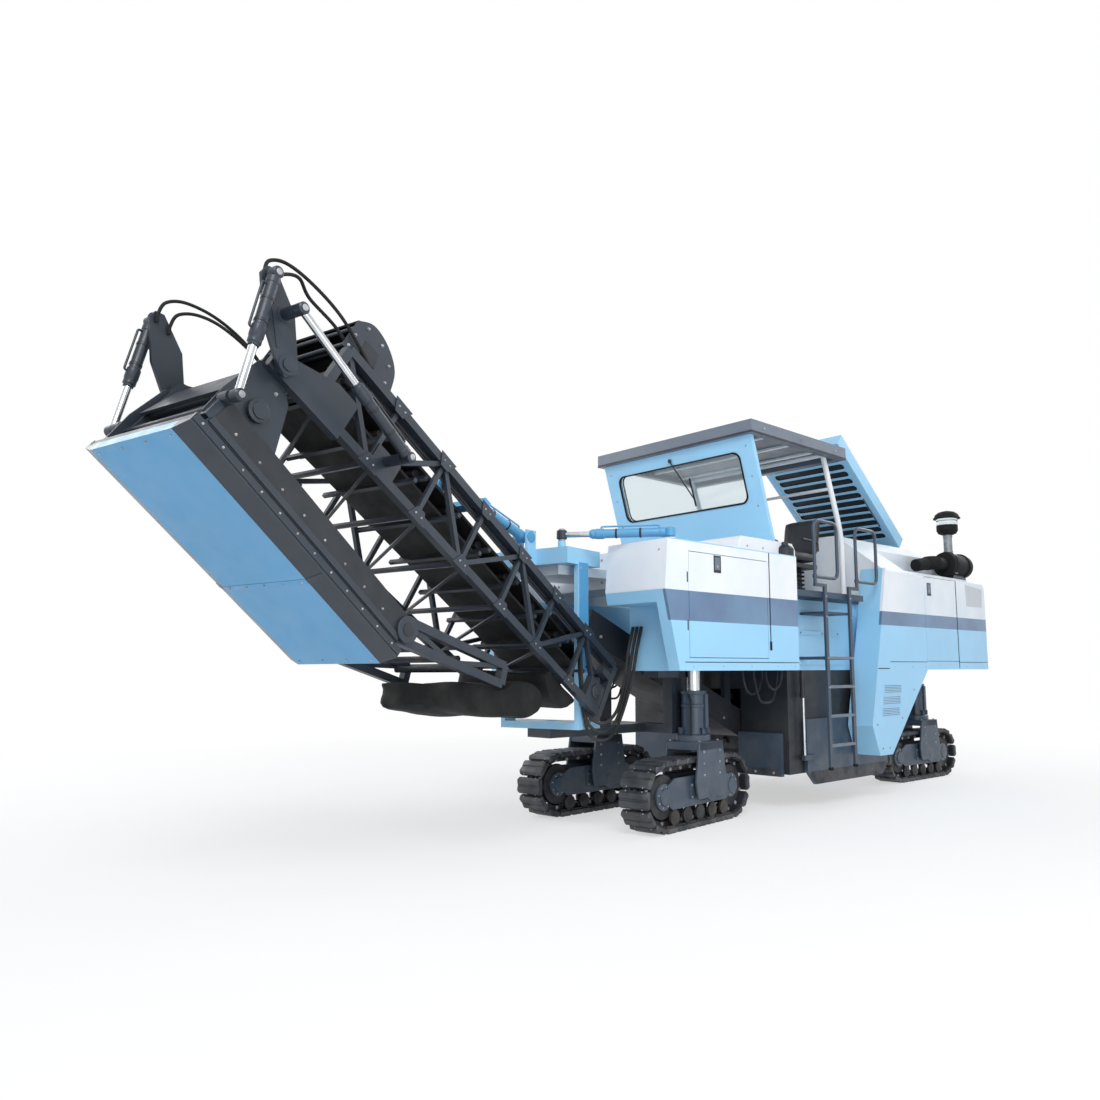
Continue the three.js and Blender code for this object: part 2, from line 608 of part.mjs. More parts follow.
// ladder on the left, outside the platform's edge, its rails tied to the hand loops above
function ladder() {
  const l = LADDER;
  const r = RAIL;
  const rear = l.front + l.width;
  const x = l.outer - l.tube;
  const rails = [l.front, rear].map((y) => bar([x, y, l.foot], [x, y, PLATFORM_TOP + 75], 46, 26));
  const rungs = [];
  for (let k = 0; k < l.rungs; k += 1) {
    const z = l.lowest + k * l.pitch;
    rungs.push(rod([x, l.front, z], [x, rear, z], l.tube, 8));
  }
  const stays = [l.front, rear].map((y) => bar([x, y, l.stay], [MID_HALF + FIT_GAP, y, l.stay], 30, 30));
  const tieZ = PLATFORM_TOP + 60;
  const ties = [
    bar([x, r.front - 15, tieZ], [x, l.front, tieZ], 30, 30),
    bar([x, rear, tieZ], [x, r.rear + 15, tieZ], 30, 30),
  ];
  return node('left_ladder', join(rails, rungs, stays, ties, handLoops(x, tieZ)), SLATE);
}

function rightHandrail() {
  const x = -(PLATFORM_HALF - 40);
  const base = PLATFORM_TOP + FIT_GAP;
  const foot = box(x - 25, x + 25, RAIL.front - 40, RAIL.rear + 40, base, base + 12);
  return node('right_handrail', join(foot, handLoops(x, base)), SLATE);
}

// ---------------------------------------------------------------- operator station
const SHELF_TOP = PLATFORM_TOP + CONSOLE.height;

function roof() {
  const r = ROOF;
  const rear = r.front + r.length;
  const low = r.top - r.fascia;
  const shell = box(-r.half, r.half, r.front, rear, low, r.top);
  const hollow = box(-r.half + r.rim, r.half - r.rim, r.front + r.rim, rear - r.rim, low - 50, r.top - r.skin);
  return node('canopy_roof', cut(shell, hollow), GREY);
}

// leaning front screen with one window opening
function windshield() {
  const w = WINDSHIELD;
  const t = WINDSHIELD_THICKNESS;
  const lean = (z) => w.bottomY + ((w.topY - w.bottomY) * (z - w.bottomZ)) / (w.topZ - w.bottomZ);
  const slab = (z0, z1, half, grow) => profileX(
    [[lean(z0) - grow, z0], [lean(z0) + t + grow, z0], [lean(z1) + t + grow, z1], [lean(z1) - grow, z1]],
    -half, half,
  );
  const panel = slab(SHELF_TOP + FIT_GAP, ROOF.top - ROOF.fascia - FIT_GAP, w.half, 0);
  return node('windshield_frame', cut(panel, slab(WINDOW.low, WINDOW.high, WINDOW.half, 20)), LIGHT_BLUE);
}

function canopyRearFrame() {
  const p = POST;
  const bottom = PLATFORM_TOP + FIT_GAP;
  const top = ROOF.top - ROOF.skin - FIT_GAP;
  const points = [
    [p.bottomY, bottom], [p.bottomY + p.size, bottom], [p.bottomY + p.size, p.kneeZ],
    [p.topY + p.size, top], [p.topY, top], [p.bottomY, p.kneeZ],
  ];
  const post = profileX(points, p.half - p.size / 2, p.half + p.size / 2);
  const rail = box(-p.half, p.half, p.topY, p.topY + p.size, top - 60, top);
  return node('canopy_rear_frame', join(post, mirrored(post, -1), rail), WHITE);
}

// console across the front of the platform, with its shelf over the front modules,
// and two seats on one floor rail
function operatorStation() {
  const c = CONSOLE;
  const y0 = FRONT_MODULE_END + 20;
  const floor = PLATFORM_TOP + FIT_GAP;
  const body = box(-c.half, c.half, y0, y0 + c.depth, floor, floor + c.height);
  const shelf = box(-c.half, c.half, y0 - c.shelf, y0 + 20, FRONT_MODULE_TOP + FIT_GAP, SHELF_TOP);
  const columns = [-1, 1].map((s) => rod(
    [s * SEAT.offset, y0 + 180, floor + c.height - 5], [s * SEAT.offset, y0 + 200, floor + c.height + 90], 35, 12,
  ));
  const floorRail = box(-60, 60, y0 + c.depth - 20, SEAT.front + 300, floor, floor + 40);
  const crossRail = box(-SEAT.offset, SEAT.offset, SEAT.front + 150, SEAT.front + 300, floor, floor + 40);
  const seats = SIDES.map((side) => mirrored(seat(floor), side.sign));
  return node('operator_station', join(body, shelf, columns, floorRail, crossRail, seats), WHITE);
}

function seat(floor) {
  const s = SEAT;
  const x = s.offset;
  const y0 = s.front;
  const pedestal = box(x - 110, x + 110, y0 + 120, y0 + 360, floor, floor + s.base);
  const cushion = box(x - s.size / 2, x + s.size / 2, y0, y0 + s.size, floor + s.base - 10, floor + s.base + 110);
  const back = profileX(
    [[y0 + s.size - 90, floor + s.base], [y0 + s.size, floor + s.base],
      [y0 + s.size + 90, floor + s.base + s.back], [y0 + s.size, floor + s.base + s.back]],
    x - s.size / 2, x + s.size / 2,
  );
  return join(pedestal, cushion, back);
}

// ---------------------------------------------------------------- rear body
const REAR_END = REAR_BODY_START + REAR_BODY_LENGTH;
const CROWN_TOP = REAR_BODY_TOP + CROWN.height;

function serviceSpace(grow) {
  const d = SERVICE_DOOR;
  return box(
    BODY_HALF_WIDTH - d.thickness - FIT_GAP, BODY_HALF_WIDTH + 100,
    d.front - grow, d.front + d.length + grow, d.bottom - grow, d.top + grow,
  );
}

function rearBody() {
  const half = BODY_HALF_WIDTH;
  const slope = [
    [-half, BODY_BOTTOM], [half, BODY_BOTTOM], [half, REAR_BODY_TOP - 40], [half - 60, REAR_BODY_TOP],
    [CROWN.half, CROWN_TOP], [-CROWN.half, CROWN_TOP], [-half + 60, REAR_BODY_TOP], [-half, REAR_BODY_TOP - 40],
  ];
  const geometry = new THREE.ExtrudeGeometry(outline(slope), { depth: REAR_BODY_LENGTH, bevelEnabled: false });
  geometry.rotateX(Math.PI / 2);
  geometry.translate(0, REAR_END, 0);
  const tub = toSolid(geometry);
  const bay = box(-BAY.half, BAY.half, BAY.start, BAY.end, BAY.floor, CROWN_TOP + 50);
  const tail = profileX(
    [[REAR_END - 900, CROWN_TOP + 50], [REAR_END + 50, REAR_BODY_TOP - 30], [REAR_END + 50, CROWN_TOP + 50]],
    -half - 10, half + 10,
  );
  const corner = profileX(
    [[REAR_END - 90, REAR_BODY_TOP + 10], [REAR_END + 5, REAR_BODY_TOP - 110], [REAR_END + 50, REAR_BODY_TOP + 10]],
    -half - 10, half + 10,
  );
  const sockets = SIDES.map((side) => legSocket(side.sign * REAR_GAUGE_HALF, WHEELBASE + LEG_BEHIND_TRACK));
  const doors = SIDES.map((side) => mirrored(serviceSpace(SLIDE_GAP), side.sign));
  const deck = box(
    CLEANER.x - CLEANER.radius - 60, half + 10, SERVICE_DOOR.front - 350, REAR_END + 10,
    REAR_BODY_TOP, CROWN_TOP + 50,
  );
  const shell = cut(tub, bay, tail, corner, sockets, doors, deck);
  return node('rear_body', join(shell, [-1, 1].map(hoodHinge)), WHITE);
}

// lug behind the open hood's rear edge
function hoodHinge(side) {
  const h = HOOD;
  const x = side * (h.half - 110);
  const lug = box(x - 30, x + 30, FIT_GAP, 60, 10, 120)
    .rotate([-h.angle, 0, 0])
    .translate([0, h.hingeY, CROWN_TOP + h.lift]);
  return join(lug, box(x - 30, x + 30, h.hingeY + 40, h.hingeY + 110, CROWN_TOP - 20, CROWN_TOP + 30));
}

function serviceDoor(side) {
  const d = SERVICE_DOOR;
  const panel = box(BODY_HALF_WIDTH - d.thickness, BODY_HALF_WIDTH, d.front, d.front + d.length, d.bottom, d.top);
  return node(`${side.name}_service_door`, mirrored(panel, side.sign), WHITE);
}

function engineBlock() {
  const e = ENGINE;
  const block = box(-e.half, e.half, e.start, e.start + e.length, e.bottom, e.bottom + e.height);
  const mounts = box(-e.half + 60, e.half - 60, e.start + 100, e.start + e.length - 100, BAY.floor + FIT_GAP, e.bottom + 10);
  return node('engine_block', join(block, mounts), DARK);
}

// raised engine hood, local frame on its rear hinge, -Y towards its free end
function engineHood() {
  const h = HOOD;
  const shell = box(-h.half, h.half, -h.length, 0, 0, h.thickness);
  const hollow = box(-h.half + 60, h.half - 60, -h.length + 60, -60, -20, 70);
  const hood = node('engine_hood', cut(shell, hollow), LIGHT_BLUE);
  hood.position.set(0, h.hingeY, CROWN_TOP + h.lift);
  hood.rotation.x = -h.angle * DEG;
  return hood;
}

function airCleaner() {
  const c = CLEANER;
  const z = REAR_BODY_TOP + FIT_GAP + c.radius + 30;
  const end = c.y + c.length;
  const canister = rod([c.x, c.y, z], [c.x, end, z], c.radius, 24);
  const elbow = bentTube([[c.x, c.y + 40, z], [c.x, c.y - 300, z], [c.x - 60, c.y - 640, z - 60]], 85, 120, 120, 12);
  const saddle = box(c.x - 70, c.x + 70, c.y + 80, end - 80, REAR_BODY_TOP + FIT_GAP, z);
  const stackY = c.y + 150;
  const stack = rod([c.x, stackY, z], [c.x, stackY, c.top - 300], c.stack, 16);
  const filter = rod([c.x, stackY, c.top - 320], [c.x, stackY, c.top - 60], c.bowl, 20);
  const cap = rod([c.x, stackY, c.top - 75], [c.x, stackY, c.top], c.bowl + 35, 20);
  return node('air_cleaner', join(canister, elbow, saddle, stack, filter, cap), RUBBER);
}

// ---------------------------------------------------------------- slewing yoke (local frame: slew axis)
function swingYoke() {
  const y = YOKE;
  const inner = y.post - y.postThickness / 2;
  const outer = y.post + y.postThickness / 2;
  const low = LOWER_ARM.bottom + LOWER_ARM.thickness + FIT_GAP;
  const headLow = HEAD.plateTop + FIT_GAP;
  const posts = [-1, 1].map((s) => {
    const x0 = s > 0 ? inner : -outer;
    return box(x0, x0 + y.postThickness, -y.postFront, -y.postRear, low, y.headTop);
  });
  const head = box(-outer, outer, -YOKE_EYE.s - 60, 130, headLow, y.headTop);
  const foot = box(-outer, outer, -y.postFront, 120, low, low + 60);
  const tongue = box(-90, 90, -LUFF_EYE.s - 60, -200, headLow, y.headTop);
  const ears = [-1, 1].map((s) => {
    const inside = LUFF_CYLINDER.eyeWidth / 2 + FIT_GAP;
    const x0 = s > 0 ? inside : -inside - 25;
    return box(x0, x0 + 25, -LUFF_EYE.s - 50, -LUFF_EYE.s + 70, y.headTop - 10, LUFF_EYE.z + 60);
  });
  const pins = [-1, 1].map((s) => rod(
    [s * (inner + 5), -LUFF_PIN.s, LUFF_PIN.z],
    [s * (CONVEYOR_HALF + CHORD / 2 + 12), -LUFF_PIN.s, LUFF_PIN.z],
    LUFF_PIN.radius, PIN_SIDES,
  ));
  const bosses = SIDES.map((side) => rod(
    [side.sign * YOKE_EYE.t, -YOKE_EYE.s, y.headTop - 10],
    [side.sign * YOKE_EYE.t, -YOKE_EYE.s, SLEW_CYLINDER.z - SLEW_CYLINDER.eyeWidth / 2 - 6],
    34, 16,
  ));
  const holes = [
    pinHole([0, 0, headLow - 20], [0, 0, y.headTop + 20], HEAD.pin),
    pinHole([0, 0, low - 20], [0, 0, low + 80], HEAD.pin),
  ];
  return node('swing_yoke', cut(join(posts, head, foot, tongue, ears, pins, bosses), holes), LIGHT_BLUE);
}

// ---------------------------------------------------------------- conveyor helpers
// a conveyor point: t across, u along, v square to the belt
const at = (t, u, v) => [t, -u, v];

function trussSide(t, corners, bays) {
  const [lowStart, lowEnd, highEnd, highStart] = corners;
  const lerp = (a, b, k) => [a[0] + (b[0] - a[0]) * k, a[1] + (b[1] - a[1]) * k];
  const low = (k) => lerp(lowStart, lowEnd, k);
  const high = (k) => lerp(highStart, highEnd, k);
  const member = (a, b, size) => bar(at(t, ...a), at(t, ...b), size, size);
  const pieces = [member(lowStart, lowEnd, CHORD), member(highStart, highEnd, CHORD)];
  pieces.push(member(lowStart, highStart, CHORD), member(lowEnd, highEnd, CHORD));
  for (let k = 0; k < bays; k += 1) {
    const a = k / bays;
    const b = (k + 1) / bays;
    const up = k % 2 === 0;
    pieces.push(member(up ? low(a) : high(a), up ? high(b) : low(b), CHORD * 0.6));
  }
  return join(pieces);
}

function crossTube(u, v, radius = 22) {
  return rod(at(-CONVEYOR_HALF, u, v), at(CONVEYOR_HALF, u, v), radius, 6);
}

function beltLoop(start, end, low, high) {
  const length = end - start;
  const depth = high - low;
  const outer = stadium(length, depth, low, 5).map(([a, z]) => [a - (start + end) / 2, z]);
  const inner = stadium(length - 2 * BELT.thickness, depth - 2 * BELT.thickness, low + BELT.thickness, 5)
    .map(([a, z]) => [a - (start + end) / 2, z]);
  return profileX(outer, -BELT.half, BELT.half, [inner]);
}

// a pulley inside one end of a belt loop, with its shaft
function pulley(u, low, high) {
  const r = (high - low) / 2 - BELT.thickness - FIT_GAP;
  const v = (high + low) / 2;
  const drum = stadium(2 * r + 2, 2 * r, v - r, 5).map(([a, z]) => [a - u, z]);
  return join(profileX(drum, -BELT.half + 15, BELT.half - 15), crossTube(u, v, 20));
}

function pulleys(belt) {
  const reach = (belt.high - belt.low) / 2 + 1;
  return [belt.start + reach, belt.end - reach].map((u) => pulley(u, belt.low, belt.high));
}

function sidePads(u0, u1, v0, v1) {
  return [-1, 1].map((s) => {
    const x0 = s * CONVEYOR_HALF - CHORD / 2;
    return box(x0, x0 + CHORD, -u1, -u0, v0, v1);
  });
}

// ---------------------------------------------------------------- base section
function baseFrame() {
  const b = BASE;
  const corners = [[b.start, b.bottom], [b.end, b.bottom], [b.end, b.top], [b.start, b.top]];
  const sides = [-1, 1].map((s) => trussSide(s * CONVEYOR_HALF, corners, b.bays));
  const tubes = [];
  for (let k = 1; k < b.bays; k += 1) {
    const u = b.start + ((b.end - b.start) * k) / b.bays;
    tubes.push(crossTube(u, b.bottom));
  }
  const bed = crossTube(b.end - 30, BASE_BELT.low - 60);
  const ends = [-1, 1].map((s) => {
    const plate = [
      [-(b.end - 250), b.bottom - 60], [-(FOLD_PIN.u + 70), FOLD_PIN.v - 60],
      [-(FOLD_PIN.u + 70), FOLD_PIN.v + 60], [-(b.end - 60), b.bottom + 230], [-(b.end - 250), b.bottom + 230],
    ];
    const x0 = s * CONVEYOR_HALF - CHORD / 2;
    return profileX(plate, x0, x0 + CHORD);
  });
  const foldPins = [-1, 1].map((s) => rod(
    at(s * (TIP_ARM.plane - TIP_ARM.thickness / 2 - 12), FOLD_PIN.u, FOLD_PIN.v),
    at(s * (LEVER.plane + LEVER.thickness / 2 + 14), FOLD_PIN.u, FOLD_PIN.v),
    FOLD_PIN.radius, PIN_SIDES,
  ));
  const eyes = [-1, 1].map((s) => rod(
    at(s * (CONVEYOR_HALF + CHORD / 2 - 20), BASE_EYE.u, BASE_EYE.v),
    at(s * (LEVER_CYLINDER.plane - FOLD_CYLINDER.eyeWidth / 2 - FIT_GAP), BASE_EYE.u, BASE_EYE.v),
    FOLD_CYLINDER.eye, 16,
  ));
  const eyePlates = [-1, 1].map((s) => {
    const x0 = s * CONVEYOR_HALF - CHORD / 2;
    return box(x0, x0 + CHORD, -(BASE_EYE.u + 110), -(BASE_EYE.u - 110), b.bottom, BASE_EYE.v + 60);
  });
  const luffEyes = [-1, 1].map((s) => {
    const x0 = s * CONVEYOR_HALF - CHORD / 2;
    return box(x0, x0 + CHORD, -110, 110, b.bottom, 90);
  });
  const luffHole = pinHole(at(-700, 0, 0), at(700, 0, 0), LUFF_PIN.radius);
  const middle = (BASE_BELT.low + BASE_BELT.high) / 2;
  const pads = [
    sidePads(b.start, b.start + 150, middle - 30, middle + 30),
    sidePads(b.end - 150, b.end, middle - 30, middle + 30),
  ].flat();
  const body = join(sides, tubes, bed, ends, eyes, eyePlates, luffEyes, pads, pulleys(BASE_BELT));
  return node('base_conveyor_frame', join(cut(body, luffHole), foldPins), SLATE);
}

// light-blue mast across the base section that the luff cylinder pulls on
function luffMast() {
  const m = MAST;
  const low = BASE.top + CHORD / 2 + FIT_GAP;
  const w = m.width / 2;
  const foot = box(-CONVEYOR_HALF - 30, CONVEYOR_HALF + 30, -m.u - w, -m.u + w, low, low + 50);
  const legs = [-1, 1].map((s) => bar(at(s * (CONVEYOR_HALF - m.legInset), m.u, low + 20), at(s * 82, m.u, m.v), 60, 40));
  const inside = LUFF_CYLINDER.eyeWidth / 2 + 6;
  const ears = [-1, 1].map((s) => rod(at(s * inside, m.u, m.v), at(s * (inside + 40), m.u, m.v), 55, 16));
  return node('luff_mast', join(foot, legs, ears), LIGHT_BLUE);
}

function baseBelt() {
  const b = BASE_BELT;
  return node('base_belt', beltLoop(b.start, b.end, b.low, b.high), RUBBER);
}

// ---------------------------------------------------------------- tip section
const DROOP = TIP.droop * DEG;
const TIP_FLAT = TIP.end - TIP.knee;
const drooped = (along, across) => [
  TIP.knee + along * Math.cos(DROOP) + across * Math.sin(DROOP),
  TIP.high - along * Math.sin(DROOP) + across * Math.cos(DROOP),
];

function tipFrame() {
  const p = TIP;
  const depth = p.low - p.high;
  const kneeLow = drooped(40, depth);
  const endHigh = drooped(TIP_FLAT, 0);
  const endLow = drooped(TIP_FLAT, depth);
  const main = [[p.start, p.low], [p.knee, p.low], [p.knee, p.high], [p.start, p.high]];
  const flat = [kneeLow, endLow, endHigh, [p.knee, p.high]];
  const sides = [-1, 1].map((s) => join(
    trussSide(s * CONVEYOR_HALF, main, p.bays),
    trussSide(s * CONVEYOR_HALF, flat, 2),
  ));
  const tubes = [
    crossTube(p.start + 20, p.low - 5), crossTube(p.knee * 0.35, p.low), crossTube(p.knee * 0.7, p.low),
    crossTube(p.knee, p.low), crossTube(...endLow),
  ];
  const arms = [-1, 1].map((s) => {
    const x0 = s * TIP_ARM.plane - TIP_ARM.thickness / 2;
    const plate = [[-260, p.low + 20], [-90, -20], [0, -75], [75, -10], [80, p.low + 20]].reverse();
    return profileX(plate, x0, x0 + TIP_ARM.thickness);
  });
  const armTies = [-1, 1].map((s) => {
    const x0 = s > 0 ? TIP_ARM.plane - 5 : -CONVEYOR_HALF;
    const x1 = s > 0 ? CONVEYOR_HALF : -TIP_ARM.plane + 5;
    return box(x0, x1, -260, 80, p.low - 20, p.low + 20);
  });
  const eyeBosses = [-1, 1].map((s) => join(
    rod(
      at(s * CONVEYOR_HALF, TIP_EYE.u, TIP_EYE.v),
      at(s * (TIP_CYLINDER.plane - FOLD_CYLINDER.eyeWidth / 2 - 6), TIP_EYE.u, TIP_EYE.v), 40, 16,
    ),
  ));
  const hole = pinHole(at(-700, 0, 0), at(700, 0, 0), FOLD_PIN.radius);
  const pads = [TIP_BELT.start + 50, TIP_BELT.end - 50].map((u) => sidePads(u - 30, u + 30, p.low, p.high)).flat();
  const frame = join(sides, tubes, arms, armTies, eyeBosses, pads, pulleys(TIP_BELT));
  return node('tip_conveyor_frame', cut(frame, hole), SLATE);
}

// crowned sheet cover over the tip section's belt
function tipCover() {
  const start = COVER.start;
  const end = COVER.knee;
  const half = CONVEYOR_HALF + CHORD / 2;
  const low = TIP.high + CHORD / 2 + FIT_GAP;
  const high = low + COVER.height;
  const section = [[-half, low], [half, low], [half, high - COVER.rise], [half - 120, high], [-half + 120, high], [-half, high - COVER.rise]];
  const geometry = new THREE.ExtrudeGeometry(outline(section), { depth: end - start, bevelEnabled: false });
  geometry.rotateX(Math.PI / 2);
  geometry.translate(0, -start, 0);
  const shell = toSolid(geometry);
  const inside = box(-half + 25, half - 25, -end - 10, -start + 10, low - 10, high - COVER.rise - 20);
  return node('tip_cover', cut(shell, inside), LIGHT_BLUE);
}

function tipBelt() {
  const b = TIP_BELT;
  return node('tip_belt', beltLoop(b.start, b.end, b.low, b.high), RUBBER);
}

// slack belt and rubber chute that hang from the folded tip, seated on its two far chords
function slackBelt() {
  const seat = (u) => TIP.high - (u - TIP.knee) * Math.tan(DROOP) + (CHORD / 2 + FIT_GAP) / Math.cos(DROOP);
  const points = [
    [-2400, seat(2400)], [-2590, 500], [-2900, 330], [-3290, 0], [-3130, -190], [-2840, 20], [-2740, seat(2740)],
  ];
  return node('discharge_skirt', profileX(points, -CONVEYOR_HALF + 10, CONVEYOR_HALF - 10), RUBBER);
}

function footSkirt() {
  const low = BASE.bottom - CHORD / 2 - FIT_GAP;
  const points = [[-120, low], [-620, low], [-560, low - 150], [-380, low - 210], [-180, low - 120]];
  return node('foot_skirt', profileX(points, -CONVEYOR_HALF + 20, CONVEYOR_HALF - 20), RUBBER);
}

// ---------------------------------------------------------------- folding levers
function foldLever(side) {
  const l = LEVER;
  const x0 = l.plane - l.thickness / 2;
  const plate = [
    [70, -40], [60, 60], [-LEVER_PIN.u, l.width], [-l.radius - 30, 55], [-l.radius - 55, 0],
    [-l.radius - 20, -50], [-240, -100], [-40, -75],
  ].reverse();
  const top = rod(
    at(x0 + 2, l.radius, 0), at(TIP_CYLINDER.plane - FOLD_CYLINDER.eyeWidth / 2 - FIT_GAP, l.radius, 0), 40, 16,
  );
  const hole = pinHole(at(x0 - 20, 0, 0), at(x0 + 60, 0, 0), FOLD_PIN.radius);
  const lower = rod(
    at(x0 + 2, LEVER_PIN.u, LEVER_PIN.v),
    at(LEVER_CYLINDER.plane - FOLD_CYLINDER.eyeWidth / 2 - 6, LEVER_PIN.u, LEVER_PIN.v), 36, 16,
  );
  const solid = join(cut(profileX(plate, x0, x0 + l.thickness), hole), top, lower);
  return node(`${side.name}_fold_lever`, mirrored(solid, side.sign), SLATE);
}

// ---------------------------------------------------------------- hydraulic cylinders
// A barrel lies along local -Y from its eye at the origin; its rod slides in it. Pins run along X,
// or along Z where the cylinder swings level.
function pinEye(size, distance, level) {
  const w = size.eyeWidth / 2;
  const from = level ? [0, -distance, -w] : [-w, -distance, 0];
  const to = level ? [0, -distance, w] : [w, -distance, 0];
  return rod(from, to, size.eye, ROUND_SIDES);
}

function barrelSolid(size, level = false) {
  const tube = rod([0, -size.eye * 0.6, 0], [0, -size.barrelLength, 0], size.barrel, ROUND_SIDES);
  const bore = rod(
    [0, -size.eye - BORE_END, 0], [0, -size.barrelLength - 20, 0], size.rod + 2 * FIT_GAP, ROUND_SIDES,
  );
  return cut(join(pinEye(size, 0, level), tube), bore);
}

function rodSolid(size, reach, level = false) {
  const shaft = rod([0, -reach + size.rodLength, 0], [0, -reach, 0], size.rod, ROUND_SIDES);
  return join(shaft, pinEye(size, reach, level));
}

// a barrel and its rod between two points of one plane of the conveyor
function foldCylinder(name, side, size, from, to) {
  const run = [to[0] - from[0], to[1] - from[1]];
  const group = new THREE.Group();
  group.add(node(`${name}_barrel`, barrelSolid(size), SLATE));
  group.add(node(`${name}_rod`, rodSolid(size, Math.hypot(...run)), CHROME));
  group.position.set(side.sign * size.plane, -from[0], from[1]);
  group.rotation.x = -Math.atan2(run[1], run[0]);
  return group;
}

// ---------------------------------------------------------------- assembly
const machine = new THREE.Group();
machine.add(frontBody(), lowerArm(), primaryConveyor());
machine.add(mainFrame(), millingDrum(), moldboard(), holdDownShoe());
machine.add(ladder(), rightHandrail());
machine.add(middleBody(), platform(), roof(), windshield(), canopyRearFrame(), operatorStation());
machine.add(rearBody(), engineBlock(), engineHood(), airCleaner());

SIDES.forEach((side) => {
  machine.add(lockerDoor(side), sidePlate(side), serviceDoor(side));
  const steer = side.sign > 0 ? FRONT_LEFT_STEER : FRONT_RIGHT_STEER;
  machine.add(trackUnit('front', side, FRONT_GAUGE_HALF, 0, steer, LEG_TOP));
  machine.add(trackUnit('rear', side, REAR_GAUGE_HALF, WHEELBASE, REAR_STEER, LEG_TOP));
});

// everything that slews with the discharge conveyor
const slew = new THREE.Group();
slew.position.set(0, SLEW_Y, 0);
slew.rotation.z = SLEW_ANGLE * DEG;
slew.add(swingYoke());
machine.add(slew);

const base = new THREE.Group();
base.position.set(0, -LUFF_PIN.s, LUFF_PIN.z);
base.rotation.x = -BASE_ANGLE * DEG;
base.add(baseFrame(), luffMast(), baseBelt(), footSkirt());
slew.add(base);

const tip = new THREE.Group();
tip.position.set(0, -FOLD_PIN.u, FOLD_PIN.v);
tip.rotation.x = FOLD_ANGLE * DEG;
tip.add(tipFrame(), tipBelt(), slackBelt());
tip.add(tipCover());
base.add(tip);

const lever = new THREE.Group();
lever.position.set(0, -FOLD_PIN.u, FOLD_PIN.v);
lever.rotation.x = -LEVER.angle * DEG;
SIDES.forEach((side) => lever.add(foldLever(side)));
base.add(lever);

// points of the folding linkage in the base section's frame
function turned(origin, point, angle) {
  const c = Math.cos(angle * DEG);
  const s = Math.sin(angle * DEG);
  return [origin.u + point.u * c - point.v * s, origin.v + point.u * s + point.v * c];
}
const leverTop = turned(FOLD_PIN, { u: LEVER.radius, v: 0 }, LEVER.angle);
const leverMiddle = turned(FOLD_PIN, LEVER_PIN, LEVER.angle);
const tipEye = turned(FOLD_PIN, TIP_EYE, -FOLD_ANGLE);
SIDES.forEach((side) => {
  base.add(foldCylinder(`${side.name}_tip_cylinder`, side, TIP_CYLINDER, leverTop, tipEye));
  base.add(foldCylinder(`${side.name}_lever_cylinder`, side, LEVER_CYLINDER, [BASE_EYE.u, BASE_EYE.v], leverMiddle));
});

// luff cylinder, in the slewing frame
const mastS = LUFF_PIN.s + MAST.u * Math.cos(BASE_ANGLE * DEG) - MAST.v * Math.sin(BASE_ANGLE * DEG);
const mastZ = LUFF_PIN.z + MAST.u * Math.sin(BASE_ANGLE * DEG) + MAST.v * Math.cos(BASE_ANGLE * DEG);
const luffRun = [mastS - LUFF_EYE.s, mastZ - LUFF_EYE.z];
const luff = new THREE.Group();
luff.add(node('luff_cylinder_barrel', barrelSolid(LUFF_CYLINDER), LIGHT_BLUE));
luff.add(node('luff_cylinder_rod', rodSolid(LUFF_CYLINDER, Math.hypot(...luffRun)), CHROME));
luff.position.set(0, -LUFF_EYE.s, LUFF_EYE.z);
luff.rotation.x = -Math.atan2(luffRun[1], luffRun[0]);
slew.add(luff);

// slew cylinders, in the machine's frame
SIDES.forEach((side) => {
  const c = Math.cos(SLEW_ANGLE * DEG);
  const s = Math.sin(SLEW_ANGLE * DEG);
  const t = side.sign * YOKE_EYE.t;
  const eye = [t * c + YOKE_EYE.s * s, SLEW_Y + t * s - YOKE_EYE.s * c];
  const foot = [side.sign * SLEW_EYE.x, SLEW_EYE.y];
  const run = [eye[0] - foot[0], eye[1] - foot[1]];
  const group = new THREE.Group();
  const name = `${side.name}_slew_cylinder`;
  group.add(node(`${name}_barrel`, barrelSolid(SLEW_CYLINDER, true), LIGHT_BLUE));
  group.add(node(`${name}_rod`, rodSolid(SLEW_CYLINDER, Math.hypot(...run), true), CHROME));
  group.position.set(foot[0], foot[1], SLEW_CYLINDER.z);
  group.rotation.z = Math.atan2(run[0], -run[1]);
  machine.add(group);
});

// the middle of the footprint goes to the origin
machine.updateMatrixWorld(true);
const extent = new THREE.Box3().setFromObject(machine, true);
const centre = extent.getCenter(new THREE.Vector3());
machine.position.set(-centre.x, -centre.y, -extent.min.z);
machine.updateMatrixWorld(true);

export default machine;
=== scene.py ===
"""Looks of a cold planer milling machine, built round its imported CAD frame."""
import json
import math

import bmesh
import bpy
from mathutils import Matrix, Vector


